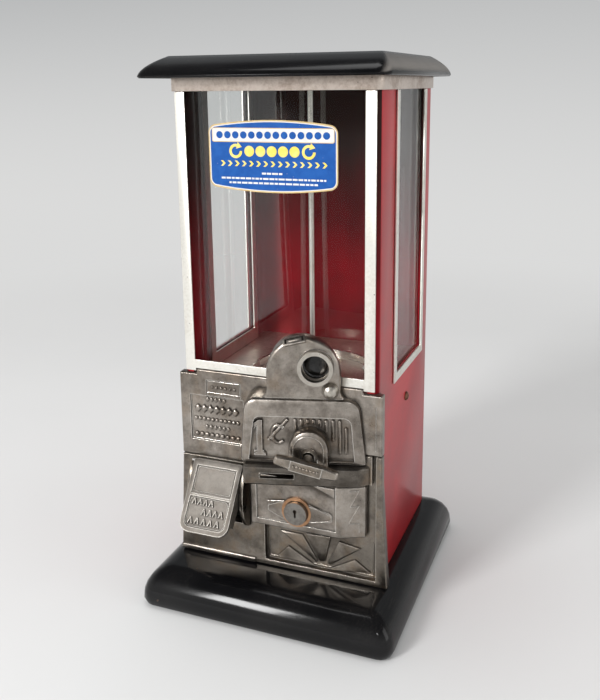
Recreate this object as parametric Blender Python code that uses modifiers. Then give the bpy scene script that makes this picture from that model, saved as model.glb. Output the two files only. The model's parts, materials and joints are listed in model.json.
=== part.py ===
# Coin-operated ball gum vendor, at real size in metres, +Z up, its front toward -Y.
# The origin is the middle of the base's underside.
# Each sub-part is one named object. Cutters and joined-in shapes are kept in their own collection.
import math

import bmesh
import bpy
from mathutils import Matrix, Vector

# Gaps and cutting
seat_gap = 0.0003               # between pieces that rest on each other
running_gap = 0.0004            # round a pin or shaft that turns
overrun = 0.0020                # how far a cutter runs past a face
weld_distance = 0.00001

# Whole machine
overall_height = 0.4064
joint_clearance = 0.0003        # between the two front castings

# Base
base_width = 0.1985
base_depth = 0.2056
base_height = 0.0286
base_corner_radius = 0.0110
base_top_corner_radius = 0.0030
base_shoulder_inset = 0.0200
base_bottom_radius = 0.0061
base_wall = 0.0130
base_top_wall = 0.0085
base_rib = 0.0050

# Base bolts
bolt_spacing_x = 0.1200
bolt_spacing_y = 0.1000
bolt_radius = 0.0024
bolt_head_radius = 0.0050
bolt_head_height = 0.0035

# Case
case_width = 0.1520
case_depth = 0.1426
case_setback = 0.0134           # how far the case stands behind the middle of the base
case_sheet = 0.0012
case_corner_radius = 0.0050
front_return = 0.0080
pan_sheet = 0.0015

# Collar
collar_width = 0.1554
collar_depth = 0.1478
collar_corner_radius = 0.0065
collar_height = 0.0118
collar_stand = 0.0031           # how far the collar stands above the case's edge

# Lid
lid_width = 0.1786
lid_depth = 0.1862
lid_forward = 0.0071            # how far the lid's middle stands in front of the case's
lid_height = 0.0150
lid_inset_x = 0.0118
lid_inset_y = 0.0262
lid_bow_share = 0.80
lid_corner_radius = 0.0080
lid_top_corner_radius = 0.0030
lid_wall = 0.0022
lid_lip = 0.0012
lid_seat_depth = 0.0032
lid_top_wall = 0.0030
lid_well_taper = 0.0050
boss_radius = 0.0090
boss_tip_radius = 0.0063
boss_height = 0.0120
nut_radius = 0.0060
nut_height = 0.0016
nut_slot_width = 0.0015

# Front window
strip_width = 0.0076
strip_thickness = 0.0011
strip_outer_half = 0.0737
strip_bottom = 0.1786
sill_height = 0.0066
glass_thickness = 0.0024

# Side windows
side_window_front = -0.0290
side_window_back = 0.0430
side_window_bottom = 0.1790
side_window_tuck = 0.0013        # how far the side windows reach up behind the collar
trim_width = 0.0064
trim_thickness = 0.0012
channel_width = 0.0070
channel_thickness = 0.0010
side_glass_margin = 0.0040

# Hopper floor and gum wheel
floor_top = 0.1680
floor_thickness = 0.0050
wheel_x = 0.0080
wheel_y = -0.0205
rim_outer_radius = 0.0488
rim_height = 0.0042
rim_ridge = 0.0014
bowl_radius = 0.0464
bowl_wall = 0.0014
bowl_floor_top = 0.1546
bowl_floor_thickness = 0.0026
wheel_radius = 0.0458
wheel_thickness = 0.0118
wheel_cone_height = 0.0070
wheel_hub_radius = 0.0060
pocket_count = 3
pocket_radius = 0.0082
pocket_circle = 0.0360
drop_angle = 206.0              # degrees round the wheel axis, from +X
rod_radius = 0.0019
bracket_leg = 0.0120
bracket_sheet = 0.0015
bracket_length = 0.1000
deflector_radius = 0.0075
deflector_height = 0.0056
deflector_angle = 14.0
strap_front = 0.0030
strap_width = 0.0140
strap_thickness = 0.0020

# Front castings
casting_front = -0.0734
casting_depth = 0.0070
casting_half_width = 0.0795
casting_foot_half_width = 0.0842
casting_foot = 0.0289
casting_top = 0.1766
casting_raised_top = 0.1802
casting_raised_half = 0.0652
left_joint = 0.1108
right_joint = 0.1312
joint_step_x = -0.0155
casting_edge_radius = 0.0008
web_thickness = 0.0035
pocket_half_width = 0.0750
pocket_bottom = 0.1500
pocket_top = 0.1734

# Plaque recess on the upper casting
plaque_left = -0.0710
plaque_right = -0.0270
plaque_bottom = 0.1238
plaque_top = 0.1596
plaque_depth = 0.0010
tab_left = -0.0572
tab_right = -0.0290
tab_top = 0.1724

# Panel recess on the lower casting
panel_left = -0.0118
panel_right = 0.0752
panel_bottom = 0.0336
panel_top = 0.1092
panel_recess = 0.0042
side_groove_left = 0.0724

# Chute opening, cheeks and cup
chute_left = -0.0668
chute_right = -0.0266
chute_bottom = 0.0600
chute_top = 0.1040
cup_left = -0.0690
cup_right = -0.0145
cup_back = -0.0250
cup_floor_front = 0.0610
cup_floor_back = 0.0800
cup_sheet = 0.0010

# Gum flap
flap_x = -0.0467
flap_half_width = 0.0199
flap_length = 0.0523
flap_thickness = 0.0030
flap_corner_radius = 0.0080
flap_rim = 0.0035
flap_relief = 0.0008
flap_divider_share = 0.47       # where the divider crosses the flap, down from the hinge
flap_skirt = 0.0025
flap_skirt_inset = 0.0004
flap_skirt_depth = 0.0070
flap_skirt_start = 0.0180
flap_tilt = 35.2                # degrees from vertical, at rest
hinge_y = -0.0760
hinge_z = 0.1075
knuckle_radius = 0.0023
pin_radius = 0.0011
cheek_thickness = 0.0026
cheek_gap = 0.0006
cheek_reach = 0.0125
cheek_middle = 0.0840
cheek_half_height = 0.0240
stop_radius = 0.0016
stop_drop = 0.0120
stop_length = 0.0024

# Coin head: a wedge-shaped cover turned toward the right
head_x = 0.0297
head_y = -0.0872
head_turn = 15.0                # degrees in plan
shaft_height = 0.1302
head_wall = 0.0034
frame_bottom = 0.1240
frame_top = 0.1728
frame_foot_left = 0.0492
frame_foot_right = 0.0415
frame_head_left = 0.0456
frame_head_right = 0.0356
frame_corner_radius = 0.0095
frame_edge_radius = 0.0032
frame_relief = 0.0040
recess_foot_left = 0.0426
recess_foot_right = 0.0325
recess_head_left = 0.0384
recess_head_right = 0.0298
recess_bottom = 0.1270
recess_top = 0.1598
recess_corner_radius = 0.0055
dome_x = -0.0035
dome_z = 0.1908
dome_radius = 0.0262
dome_setback = 0.0030
dome_edge_radius = 0.0046
dome_flare = 0.0050
arch_x = 0.0008
arch_height = 0.1384
arch_half_width = 0.0142
arch_reach = 0.0080
arch_edge_radius = 0.0030
arch_opening_half = 0.0061
arch_opening_bottom = 0.1262
arch_opening_height = 0.1342
arch_opening_depth = 0.0055
numeral_x = -0.0355
numeral_height = 0.0250
numeral_width = 0.0070
numeral_relief = 0.0016
numeral_stem_share = 0.45       # of half the numeral's width
numeral_beak_share = 0.40       # of the stem
numeral_serif_share = 0.09      # of the numeral's height
numeral_flag_shares = (0.20, 0.16)

# Viewer
viewer_x = 0.0056
viewer_z = 0.1966
viewer_boss_radius = 0.0140
viewer_boss_reach = 0.0022
bezel_radius = 0.0124
bezel_width = 0.0028
bezel_reach = 0.0018
lens_thickness = 0.0018
lens_crown = 0.0022
button_x = 0.0157
button_z = 0.1792
button_radius = 0.0058

# Coin slot in the crown of the dome
coin_diameter = 0.0190
slot_angle = 104.0              # degrees round the dome, from its right side
slot_length = 0.0150
slot_thickness = 0.0027
slot_depth = 0.0120
slot_setback = 0.0084
track_wall = 0.0010

# Coin visor over the cash drawer
visor_bottom = 0.1085
visor_reach = 0.0030
visor_left = 0.0470
visor_right = 0.0342
visor_cheek_width = 0.0097
visor_cheek_depth = 0.0052
visor_wall = 0.0028
visor_slot_left = 0.0344
visor_slot_right = 0.0104
visor_slot_bottom = 0.1146
visor_slot_height = 0.0033
visor_edge_radius = 0.0016

# Handle train
shaft_radius = 0.0038
tail_radius = 0.0023
handle_half_length = 0.0226
handle_height = 0.0088
handle_tip_height = 0.0060
handle_end_radius = 0.0018
handle_thickness = 0.0055
handle_back = 0.0136
handle_plate_half = 0.0112
handle_plate_height = 0.0074
handle_plate_rise = 0.0012
handle_tilt = 14.7              # degrees clockwise from level, seen from the front
bush_radius = 0.0048
bush_setback = 0.0010
carrier_radius = 0.0138
carrier_thickness = 0.0019
counter_radius = 0.0030
mitre_radius = 0.0080
mitre_teeth = 16
mitre_face = 0.0038
mitre_back = 0.0016
mitre_tooth_shares = (0.9, 1.5)  # addendum and dedendum, of the module's half
spur_module = 0.0010
pinion_teeth = 12
wheel_teeth = 36
spur_face = 0.0038
spur_bottom = 0.1474
tooth_share = 0.36              # width of a tooth at the pitch line, of the tooth pitch
tip_share = 0.17                # width of a tooth at its tip, of the tooth pitch
root_share = 0.06               # how much wider a spur tooth is at each side of its root
spur_tooth_shares = (0.90, 1.25)  # addendum and dedendum, of the module
bearing_sheet = 0.0030
bearing_bottom = 0.1436
bearing_half_width = 0.0075
bearing_plate_depth = 0.0040
bearing_plate_half = 0.0150
bearing_plate_bottom = 0.1210
bearing_plate_top = 0.1500

# Cash drawer
drawer_left = -0.0190
drawer_right = 0.0500
drawer_chamfer = 0.0184
drawer_bottom = 0.0676
drawer_reach = 0.0088
drawer_wall = 0.0030
drawer_border = 0.0050
drawer_border_right = 0.0022
drawer_relief = 0.0012
drawer_edge_radius = 0.0010
drawer_hole_left = -0.0100
drawer_hole_right = 0.0460
drawer_hole_bottom = 0.0720
drawer_hole_top = 0.1030
tray_side_gap = 0.0010
tray_depth = 0.0540
tray_sheet = 0.0010
rail_leg = 0.0060
rail_sheet = 0.0012

# Lock
lock_x = 0.0178
lock_z = 0.0826
lock_ring_radius = 0.0114
lock_ring_width = 0.0022
lock_reach = 0.0034
lock_ring_chamfer = 0.0009
lock_body_radius = 0.0076
cam_length = 0.0250
cam_width = 0.0070
cam_thickness = 0.0015
keyhole_radius = 0.0016
keyhole_slot = 0.0056
keyhole_width = 0.0014
keyhole_depth = 0.0030
escutcheon_left = 0.0225
escutcheon_right = 0.0275
escutcheon_half = 0.0068
escutcheon_tip_shares = (0.30, 0.50)     # half height at its left and right ends, of the middle
escutcheon_waist_share = 0.60            # where its right slope starts, of the lock ring's radius
escutcheon_radii = (0.0014, 0.0030)

# Derived places used by more than one piece
lid_bottom = overall_height - lid_height
lid_seat = lid_bottom + lid_seat_depth
collar_top = lid_seat - seat_gap
collar_bottom = collar_top - collar_height
case_top = collar_top - collar_stand
side_window_top = collar_bottom + side_window_tuck
half_case_width = case_width / 2
half_case_depth = case_depth / 2
casting_back = casting_front + casting_depth
web_back = casting_front + web_thickness
head_back = casting_front - seat_gap
head_inside = frame_relief + head_wall
visor_top = frame_bottom - seat_gap
drawer_top = visor_bottom - 2 * seat_gap
drawer_back = casting_front + panel_recess - seat_gap
drawer_front_y = casting_front - drawer_reach
case_foot = base_height + seat_gap
glass_front = -half_case_depth + case_sheet + seat_gap

parts = None
helpers = None
head_seat = None


def clear_scene():
    for item in list(bpy.data.objects):
        bpy.data.objects.remove(item, do_unlink=True)


def new_collection(name):
    group = bpy.data.collections.new(name)
    bpy.context.scene.collection.children.link(group)
    return group


# Shapes

def add_object(name, mesh, seat=None, group=None):
    item = bpy.data.objects.new(name, mesh)
    (group or helpers).objects.link(item)
    if seat is not None:
        item.parent = seat
    return item


def mesh_object(name, shape, seat=None):
    mesh = bpy.data.meshes.new(name)
    shape.to_mesh(mesh)
    shape.free()
    return add_object(name, mesh, seat)


def box(name, low, high, seat=None):
    size = [high[i] - low[i] for i in range(3)]
    middle = [(high[i] + low[i]) / 2 for i in range(3)]
    shape = bmesh.new()
    bmesh.ops.create_cube(shape, size=1.0)
    bmesh.ops.scale(shape, vec=size, verts=shape.verts)
    bmesh.ops.translate(shape, vec=middle, verts=shape.verts)
    return mesh_object(name, shape, seat)


def cylinder(name, radius, start, end, seat=None, sides=28, tip_radius=None):
    start, end = Vector(start), Vector(end)
    along = end - start
    shape = bmesh.new()
    bmesh.ops.create_cone(shape, cap_ends=True, segments=sides, radius1=radius,
                          radius2=radius if tip_radius is None else tip_radius, depth=along.length)
    turn = Vector((0, 0, 1)).rotation_difference(along.normalized()).to_matrix().to_4x4()
    bmesh.ops.transform(shape, matrix=Matrix.Translation((start + end) / 2) @ turn, verts=shape.verts)
    return mesh_object(name, shape, seat)


def ring_solid(name, rings, capped=True, seat=None):
    """Skin closed rings of equal count, capped at both ends or bridged from last to first."""
    shape = bmesh.new()
    loops = [[shape.verts.new(point) for point in ring] for ring in rings]
    count = len(loops[0])
    pairs = list(zip(loops, loops[1:]))
    if not capped:
        pairs.append((loops[-1], loops[0]))
    for lower, upper in pairs:
        for i in range(count):
            j = (i + 1) % count
            shape.faces.new((lower[i], lower[j], upper[j], upper[i]))
    if capped:
        shape.faces.new(loops[0])
        shape.faces.new(loops[-1])
    bmesh.ops.recalc_face_normals(shape, faces=shape.faces)
    return mesh_object(name, shape, seat)


def arc(centre, radius, start, end, steps):
    points = []
    for i in range(steps + 1):
        angle = math.radians(start + (end - start) * i / steps)
        points.append((centre[0] + radius * math.cos(angle), centre[1] + radius * math.sin(angle)))
    return points


def rounded_outline(corners, radii, steps=4):
    """A closed outline whose corners are rounded, each by its own radius."""
    points = []
    count = len(corners)
    for i in range(count):
        here = Vector(corners[i])
        to_last = (Vector(corners[i - 1]) - here).normalized()
        to_next = (Vector(corners[(i + 1) % count]) - here).normalized()
        if radii[i] == 0:
            points.append(tuple(here))
            continue
        half = to_last.angle(to_next) / 2
        reach = radii[i] / math.tan(half)
        centre = here + (to_last + to_next).normalized() * (radii[i] / math.sin(half))
        first = here + to_last * reach - centre
        last = here + to_next * reach - centre
        sweep = first.angle_signed(last)
        for k in range(steps + 1):
            angle = -sweep * k / steps
            turned = Matrix.Rotation(angle, 2) @ first
            points.append(tuple(centre + turned))
    return points


def rectangle_ring(half_width, half_depth, radius, height, middle=0.0, steps=4):
    corners = [(half_width, half_depth), (-half_width, half_depth),
               (-half_width, -half_depth), (half_width, -half_depth)]
    flat = rounded_outline(corners, [radius] * 4, steps)
    return [(x, y + middle, height) for x, y in flat]


def outline_solid(name, points, thickness, place, seat=None):
    """A flat outline given an even thickness. place puts its middle plane where it belongs."""
    curve = bpy.data.curves.new(name, 'CURVE')
    curve.dimensions = '2D'
    curve.fill_mode = 'BOTH'
    curve.extrude = thickness / 2
    spline = curve.splines.new('POLY')
    spline.points.add(len(points) - 1)
    for target, point in zip(spline.points, points):
        target.co = (point[0], point[1], 0, 1)
    spline.use_cyclic_u = True
    drawn = add_object(name + '_outline', curve)
    view = bpy.context.evaluated_depsgraph_get()
    mesh = bpy.data.meshes.new_from_object(drawn.evaluated_get(view))
    bpy.data.objects.remove(drawn, do_unlink=True)
    shape = bmesh.new()
    shape.from_mesh(mesh)
    bpy.data.meshes.remove(mesh)
    bmesh.ops.remove_doubles(shape, verts=shape.verts, dist=weld_distance)
    bmesh.ops.dissolve_limit(shape, angle_limit=math.radians(0.5), verts=shape.verts, edges=shape.edges)
    bmesh.ops.transform(shape, matrix=place, verts=shape.verts)
    bmesh.ops.recalc_face_normals(shape, faces=shape.faces)
    return mesh_object(name, shape, seat)


def front_solid(name, points, front, back, seat=None):
    """An outline drawn in the front view (x, z), running from y = front to y = back."""
    place = Matrix.Translation((0, (front + back) / 2, 0)) @ Matrix.Rotation(math.radians(90), 4, 'X')
    return outline_solid(name, points, back - front, place, seat)


def plan_solid(name, points, bottom, top, seat=None):
    """An outline drawn in plan (x, y), running from z = bottom to z = top."""
    return outline_solid(name, points, top - bottom, Matrix.Translation((0, 0, (bottom + top) / 2)), seat)


def side_solid(name, points, left, right, seat=None):
    """An outline drawn in the side view (y, z), running from x = left to x = right."""
    swap = Matrix(((0, 0, 1, 0), (1, 0, 0, 0), (0, 1, 0, 0), (0, 0, 0, 1)))
    place = Matrix.Translation(((left + right) / 2, 0, 0)) @ swap
    return outline_solid(name, points, right - left, place, seat)


def turned(name, profile, location, seat=None, steps=32):
    """A turned shape: the profile (radius, height) runs down the outer side, about a vertical axis."""
    shape = bmesh.new()
    verts = [shape.verts.new((radius, 0, height)) for radius, height in profile]
    for first, second in zip(verts, verts[1:]):
        shape.edges.new((first, second))
    item = mesh_object(name, shape, seat)
    item.location = location
    screw = item.modifiers.new('Screw', 'SCREW')
    screw.steps = steps
    screw.render_steps = steps
    screw.use_merge_vertices = True
    screw.merge_threshold = weld_distance
    return item


def turned_ring(name, profile, location, seat=None, steps=32):
    """As turned, but the profile closes on itself round a bore."""
    item = turned(name, profile + [profile[0]], location, seat, steps)
    weld = item.modifiers.new('Weld', 'WELD')
    weld.merge_threshold = weld_distance
    return item


# Joining, cutting and finishing

def round_edges(item, width, segments=2, angle=40):
    bevel = item.modifiers.new('Bevel', 'BEVEL')
    bevel.width = width
    bevel.segments = segments
    bevel.limit_method = 'ANGLE'
    bevel.angle_limit = math.radians(angle)
    bevel.use_clamp_overlap = True
    return item


def combine(item, other, operation):
    step = item.modifiers.new(other.name, 'BOOLEAN')
    step.operation = operation
    step.solver = 'EXACT'
    step.object = other
    other.hide_render = True
    other.display_type = 'WIRE'
    return item


def cut(item, *cutters):
    for cutter in cutters:
        combine(item, cutter, 'DIFFERENCE')
    return item


def join(item, *others):
    for other in others:
        combine(item, other, 'UNION')
    return item


def finish(item, colour, roughness, metallic=0.0, alpha=1.0):
    """Give a piece its own material and put it with the parts."""
    paint = bpy.data.materials.new(item.name)
    paint.use_nodes = True
    shader = paint.node_tree.nodes['Principled BSDF']
    shader.inputs['Base Color'].default_value = (*colour, 1.0)
    shader.inputs['Roughness'].default_value = roughness
    shader.inputs['Metallic'].default_value = metallic
    shader.inputs['Alpha'].default_value = alpha
    item.data.materials.clear()
    item.data.materials.append(paint)
    helpers.objects.unlink(item)
    parts.objects.link(item)
    item.data.shade_smooth()
    item.data.set_sharp_from_angle(angle=math.radians(35))
    return item


def black_enamel(item):
    return finish(item, (0.012, 0.012, 0.013), 0.14)


def red_enamel(item):
    return finish(item, (0.42, 0.018, 0.022), 0.24)


def nickel(item):
    return finish(item, (0.72, 0.70, 0.65), 0.30, 1.0)


def aged_casting(item):
    return finish(item, (0.40, 0.365, 0.33), 0.40, 0.9)


def bright_casting(item):
    return finish(item, (0.62, 0.60, 0.55), 0.34, 0.9)


def floor_aluminium(item):
    return finish(item, (0.52, 0.48, 0.44), 0.42, 0.9)


def polished_steel(item):
    return finish(item, (0.60, 0.58, 0.56), 0.22, 1.0)


def plain_steel(item):
    return finish(item, (0.36, 0.35, 0.34), 0.42, 1.0)


def gear_brass(item):
    return finish(item, (0.62, 0.45, 0.20), 0.35, 1.0)


def clear_glass(item):
    return finish(item, (0.90, 0.93, 0.92), 0.03, 0.0, 0.25)


def dark_glass(item):
    return finish(item, (0.05, 0.055, 0.06), 0.04)


# Base

def base_bolt_places():
    places = []
    for x in (-bolt_spacing_x / 2, bolt_spacing_x / 2):
        for y in (-bolt_spacing_y / 2, bolt_spacing_y / 2):
            places.append((x, y))
    return places


def base_ring(inset, radius, height):
    return rectangle_ring(base_width / 2 - inset, base_depth / 2 - inset, radius, height, -case_setback)


def make_base():
    """A cast foot with a broad rounded shoulder, hollow underneath, with two stiffening ribs."""
    rings = []
    foot_steps, shoulder_steps = 2, 6
    for i in range(foot_steps):
        angle = math.radians(90) * i / foot_steps
        inset = base_bottom_radius * (1 - math.sin(angle))
        rings.append(base_ring(inset, base_corner_radius - inset, base_bottom_radius * (1 - math.cos(angle))))
    for i in range(shoulder_steps + 1):
        angle = math.radians(90) * i / shoulder_steps
        share = 1 - math.cos(angle)
        radius = base_corner_radius + (base_top_corner_radius - base_corner_radius) * share
        height = base_bottom_radius + (base_height - base_bottom_radius) * math.sin(angle)
        rings.append(base_ring(base_shoulder_inset * share, radius, height))
    base = ring_solid('base_casting', rings)
    inner_width = base_width / 2 - base_wall
    inner_radius = base_corner_radius - base_wall / 2
    ceiling = base_height - base_top_wall
    hollow = ring_solid('base_hollow', [
        base_ring(base_wall, inner_radius, -overrun),
        base_ring(base_wall, inner_radius, ceiling)])
    cut(base, hollow)
    rib_reach = inner_width + overrun
    for side in (-1, 1):
        y = side * bolt_spacing_y / 4
        rib = box('base_rib', (-rib_reach, y - base_rib / 2, base_bottom_radius),
                  (rib_reach, y + base_rib / 2, ceiling + overrun))
        join(base, rib)
    for x, y in base_bolt_places():
        top = base_height + overrun
        cut(base, cylinder('bolt_hole', bolt_radius + seat_gap, (x, y, 0), (x, y, top), sides=16))
    black_enamel(base)


def make_base_bolts():
    under = base_height - base_top_wall - seat_gap
    top = case_foot + pan_sheet + bolt_head_height
    for number, (x, y) in enumerate(base_bolt_places(), start=1):
        bolt = cylinder(f'base_bolt_{number}', bolt_head_radius, (x, y, under - bolt_head_height),
                        (x, y, under), sides=6)
        start = under - bolt_head_height / 2
        shank = cylinder('bolt_shank', bolt_radius, (x, y, start), (x, y, top), sides=16)
        plain_steel(join(bolt, shank))


# Case

def case_path():
    """The case's outer face in plan, from the left front return round the back to the right one."""
    half_opening = half_case_width - front_return
    w, d, r = half_case_width, half_case_depth, case_corner_radius
    path = [(-half_opening, -d)]
    path += arc((-w + r, -d + r), r, 270, 180, 4)
    path += arc((-w + r, d - r), r, 180, 90, 4)
    path += arc((w - r, d - r), r, 90, 0, 4)
    path += arc((w - r, -d + r), r, 0, -90, 4)
    path.append((half_opening, -d))
    return path


def case_inside(front):
    """The room inside the case in plan, from a front line back to the rounded rear corners."""
    gap = case_sheet + seat_gap
    w, d = half_case_width - gap, half_case_depth - gap
    r = case_corner_radius - case_sheet
    return [(-w, front), (w, front)] + arc((w - r, d - r), r, 0, 90, 4) + arc((-w + r, d - r), r, 90, 180, 4)


def make_case():
    """One folded sheet with two windows. Its front corners stop at the castings."""
    shape = bmesh.new()
    lower = [shape.verts.new((x, y, case_foot)) for x, y in case_path()]
    upper = [shape.verts.new((x, y, case_top)) for x, y in case_path()]
    for i in range(len(lower) - 1):
        shape.faces.new((lower[i], lower[i + 1], upper[i + 1], upper[i]))
    case = mesh_object('body_shell', shape)
    thicken = case.modifiers.new('Solidify', 'SOLIDIFY')
    thicken.thickness = case_sheet
    thicken.offset = 1.0
    thicken.use_even_offset = True
    front_cut = box('casting_relief', (-case_width, -case_depth, 0),
                    (case_width, casting_back + seat_gap, casting_top + seat_gap))
    windows = box('side_windows', (-case_width, side_window_front, side_window_bottom),
                  (case_width, side_window_back, side_window_top))
    cut(case, front_cut, windows)
    red_enamel(case)
    pan = plan_solid('bottom_pan', case_inside(casting_back + seat_gap), case_foot, case_foot + pan_sheet)
    for x, y in base_bolt_places():
        cut(pan, cylinder('pan_hole', bolt_radius + seat_gap, (x, y, 0), (x, y, 2 * base_height), sides=16))
    plain_steel(pan)


def make_collar():
    half_w, half_d = collar_width / 2, collar_depth / 2
    inner_w, inner_d = half_case_width + seat_gap, half_case_depth + seat_gap
    inner_r = case_corner_radius + seat_gap
    nickel(ring_solid('collar_band', [
        rectangle_ring(half_w, half_d, collar_corner_radius, collar_bottom),
        rectangle_ring(half_w, half_d, collar_corner_radius, collar_top),
        rectangle_ring(inner_w, inner_d, inner_r, collar_top),
        rectangle_ring(inner_w, inner_d, inner_r, collar_bottom)], capped=False))


def make_front_window():
    """A nickelled frame of two uprights and a sill, and the pane behind it."""
    outer = strip_outer_half
    inner = outer - strip_width
    top = collar_bottom - seat_gap
    foot = strip_bottom
    step = casting_raised_half + seat_gap
    sill = casting_raised_top + seat_gap
    sill_top = sill + sill_height
    points = [(-outer, foot), (-step, foot), (-step, sill), (step, sill), (step, foot), (outer, foot),
              (outer, top), (inner, top), (inner, sill_top), (-inner, sill_top), (-inner, top), (-outer, top)]
    front = -half_case_depth - seat_gap - strip_thickness
    frame = front_solid('front_window_frame', points, front, front + strip_thickness)
    nickel(frame)
    pane_half = half_case_width - case_sheet - case_corner_radius
    pane = box('front_glass', (-pane_half, glass_front, casting_raised_top + seat_gap),
               (pane_half, glass_front + glass_thickness, case_top - seat_gap))
    clear_glass(pane)


def window_frame_points(margin, bottom, top):
    low, high = side_window_front, side_window_back
    foot = side_window_bottom
    return [(low - margin, bottom), (high + margin, bottom), (high + margin, top),
            (high, top), (high, foot), (low, foot), (low, top), (low - margin, top)]


def make_side_window(name, side):
    """An outside trim, a pane, and the inside channel that holds the pane."""
    def slab(piece, points, near, far):
        left, right = sorted((side * near, side * far))
        return side_solid(piece, points, left, right)

    face = half_case_width + seat_gap
    trim_foot = side_window_bottom - trim_width
    trim = slab(f'{name}_window_frame', window_frame_points(trim_width, trim_foot, collar_bottom - seat_gap),
                face, face + trim_thickness)
    nickel(trim)
    wall = half_case_width - case_sheet - seat_gap
    inner = wall - glass_thickness
    margin = side_glass_margin
    low, high = sorted((side * wall, side * inner))
    foot = floor_top + seat_gap
    pane = box(f'{name}_glass', (low, side_window_front - margin, foot),
               (high, side_window_back + margin, case_top - seat_gap))
    clear_glass(pane)
    channel_face = inner - seat_gap
    channel = slab(f'{name}_glass_channel', window_frame_points(channel_width, foot, case_top - seat_gap),
                   channel_face - channel_thickness, channel_face)
    nickel(channel)


# Lid

def lid_ring(inset_x, inset_y, radius, height):
    return rectangle_ring(lid_width / 2 - inset_x, lid_depth / 2 - inset_y, radius, height, -lid_forward)


def make_lid():
    """A cast lid whose sides bow up to a flat top. Underneath, a rim rests on the collar round a well."""
    inside = lid_corner_radius - lid_wall
    rings = [lid_ring(lid_wall, lid_wall, inside, lid_seat),
             lid_ring(lid_wall, lid_wall, inside, lid_bottom),
             lid_ring(lid_lip, lid_lip, lid_corner_radius - lid_lip, lid_bottom)]
    rise = overall_height - lid_bottom - lid_lip
    steps = 7
    for i in range(steps + 1):
        share = i / steps
        across = share * (1 - lid_bow_share * (1 - share))
        radius = lid_corner_radius + (lid_top_corner_radius - lid_corner_radius) * across
        height = lid_bottom + lid_lip + rise * share
        rings.append(lid_ring(lid_inset_x * across, lid_inset_y * across, radius, height))
    lid = ring_solid('roof_lid', rings)
    well_width, well_depth = half_case_width - front_return, half_case_depth - case_corner_radius
    ceiling = overall_height - lid_top_wall
    taper = lid_well_taper
    cut(lid, ring_solid('lid_well', [
        rectangle_ring(well_width, well_depth, case_corner_radius, lid_seat - overrun),
        rectangle_ring(well_width - taper, well_depth - taper, case_corner_radius, ceiling)]))
    axis = (wheel_x, wheel_y)
    nut_floor = overall_height - nut_height - seat_gap
    cut(lid, cylinder('nut_recess', nut_radius + seat_gap, (*axis, nut_floor),
                      (*axis, overall_height + overrun)))
    cut(lid, cylinder('rod_hole', rod_radius + 2 * running_gap, (*axis, ceiling - overrun),
                      (*axis, overall_height), sides=20))
    black_enamel(lid)
    boss_top = ceiling - seat_gap
    boss_bottom = boss_top - boss_height
    bore = rod_radius + 2 * running_gap
    profile = [(bore, boss_top), (boss_radius, boss_top), (boss_tip_radius, boss_bottom), (bore, boss_bottom)]
    boss = turned_ring('lid_boss', profile, (*axis, 0), steps=24)
    plain_steel(boss)
    nut_top = overall_height - seat_gap
    nut_bottom = nut_top - nut_height
    nut = cylinder('lid_nut', nut_radius, (*axis, nut_bottom), (*axis, nut_top), sides=24)
    reach, half = nut_radius + overrun, nut_slot_width / 2
    cut(nut, box('nut_slot', (wheel_x - reach, wheel_y - half, nut_top - nut_height / 2),
                 (wheel_x + reach, wheel_y + half, nut_top + overrun)))
    plain_steel(nut)


def rod_top():
    return overall_height - nut_height - 3 * seat_gap


def make_center_rod():
    foot = spur_bottom - strap_thickness - seat_gap
    rod = cylinder('center_rod', rod_radius, (wheel_x, wheel_y, foot - strap_thickness),
                   (wheel_x, wheel_y, rod_top()), sides=16)
    nickel(rod)


# Hopper

def make_hopper_floor():
    outline = case_inside(web_back + seat_gap)
    plate = plan_solid('hopper_floor', outline, floor_top - floor_thickness, floor_top)
    bore = cylinder('floor_bore', bowl_radius + bowl_wall + seat_gap, (wheel_x, wheel_y, 0),
                    (wheel_x, wheel_y, 2 * floor_top), sides=40)
    cut(plate, bore)
    floor_aluminium(plate)


def drop_place():
    angle = math.radians(drop_angle)
    return (wheel_x + pocket_circle * math.cos(angle), wheel_y + pocket_circle * math.sin(angle))


def make_wheel_housing():
    """A turned bowl hung in the floor by a double rim, with the hole that the gum drops through."""
    wall = bowl_radius + bowl_wall
    foot = bowl_floor_top - bowl_floor_thickness
    seat = floor_top + seat_gap
    crest = seat + rim_height
    valley = seat + rim_height / 2
    hub = wheel_hub_radius + running_gap
    profile = [(hub, bowl_floor_top), (bowl_radius, bowl_floor_top), (bowl_radius, crest),
               (bowl_radius + rim_ridge / 2, crest), (bowl_radius + rim_ridge, valley),
               (rim_outer_radius - rim_ridge / 2, (crest + valley) / 2),
               (rim_outer_radius, seat + rim_ridge), (rim_outer_radius, seat), (wall, seat),
               (wall, foot), (hub, foot)]
    housing = turned_ring('wheel_housing', profile, (wheel_x, wheel_y, 0), steps=48)
    x, y = drop_place()
    cut(housing, cylinder('drop_hole', pocket_radius, (x, y, foot - overrun),
                          (x, y, bowl_floor_top + overrun), sides=24))
    polished_steel(housing)


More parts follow.
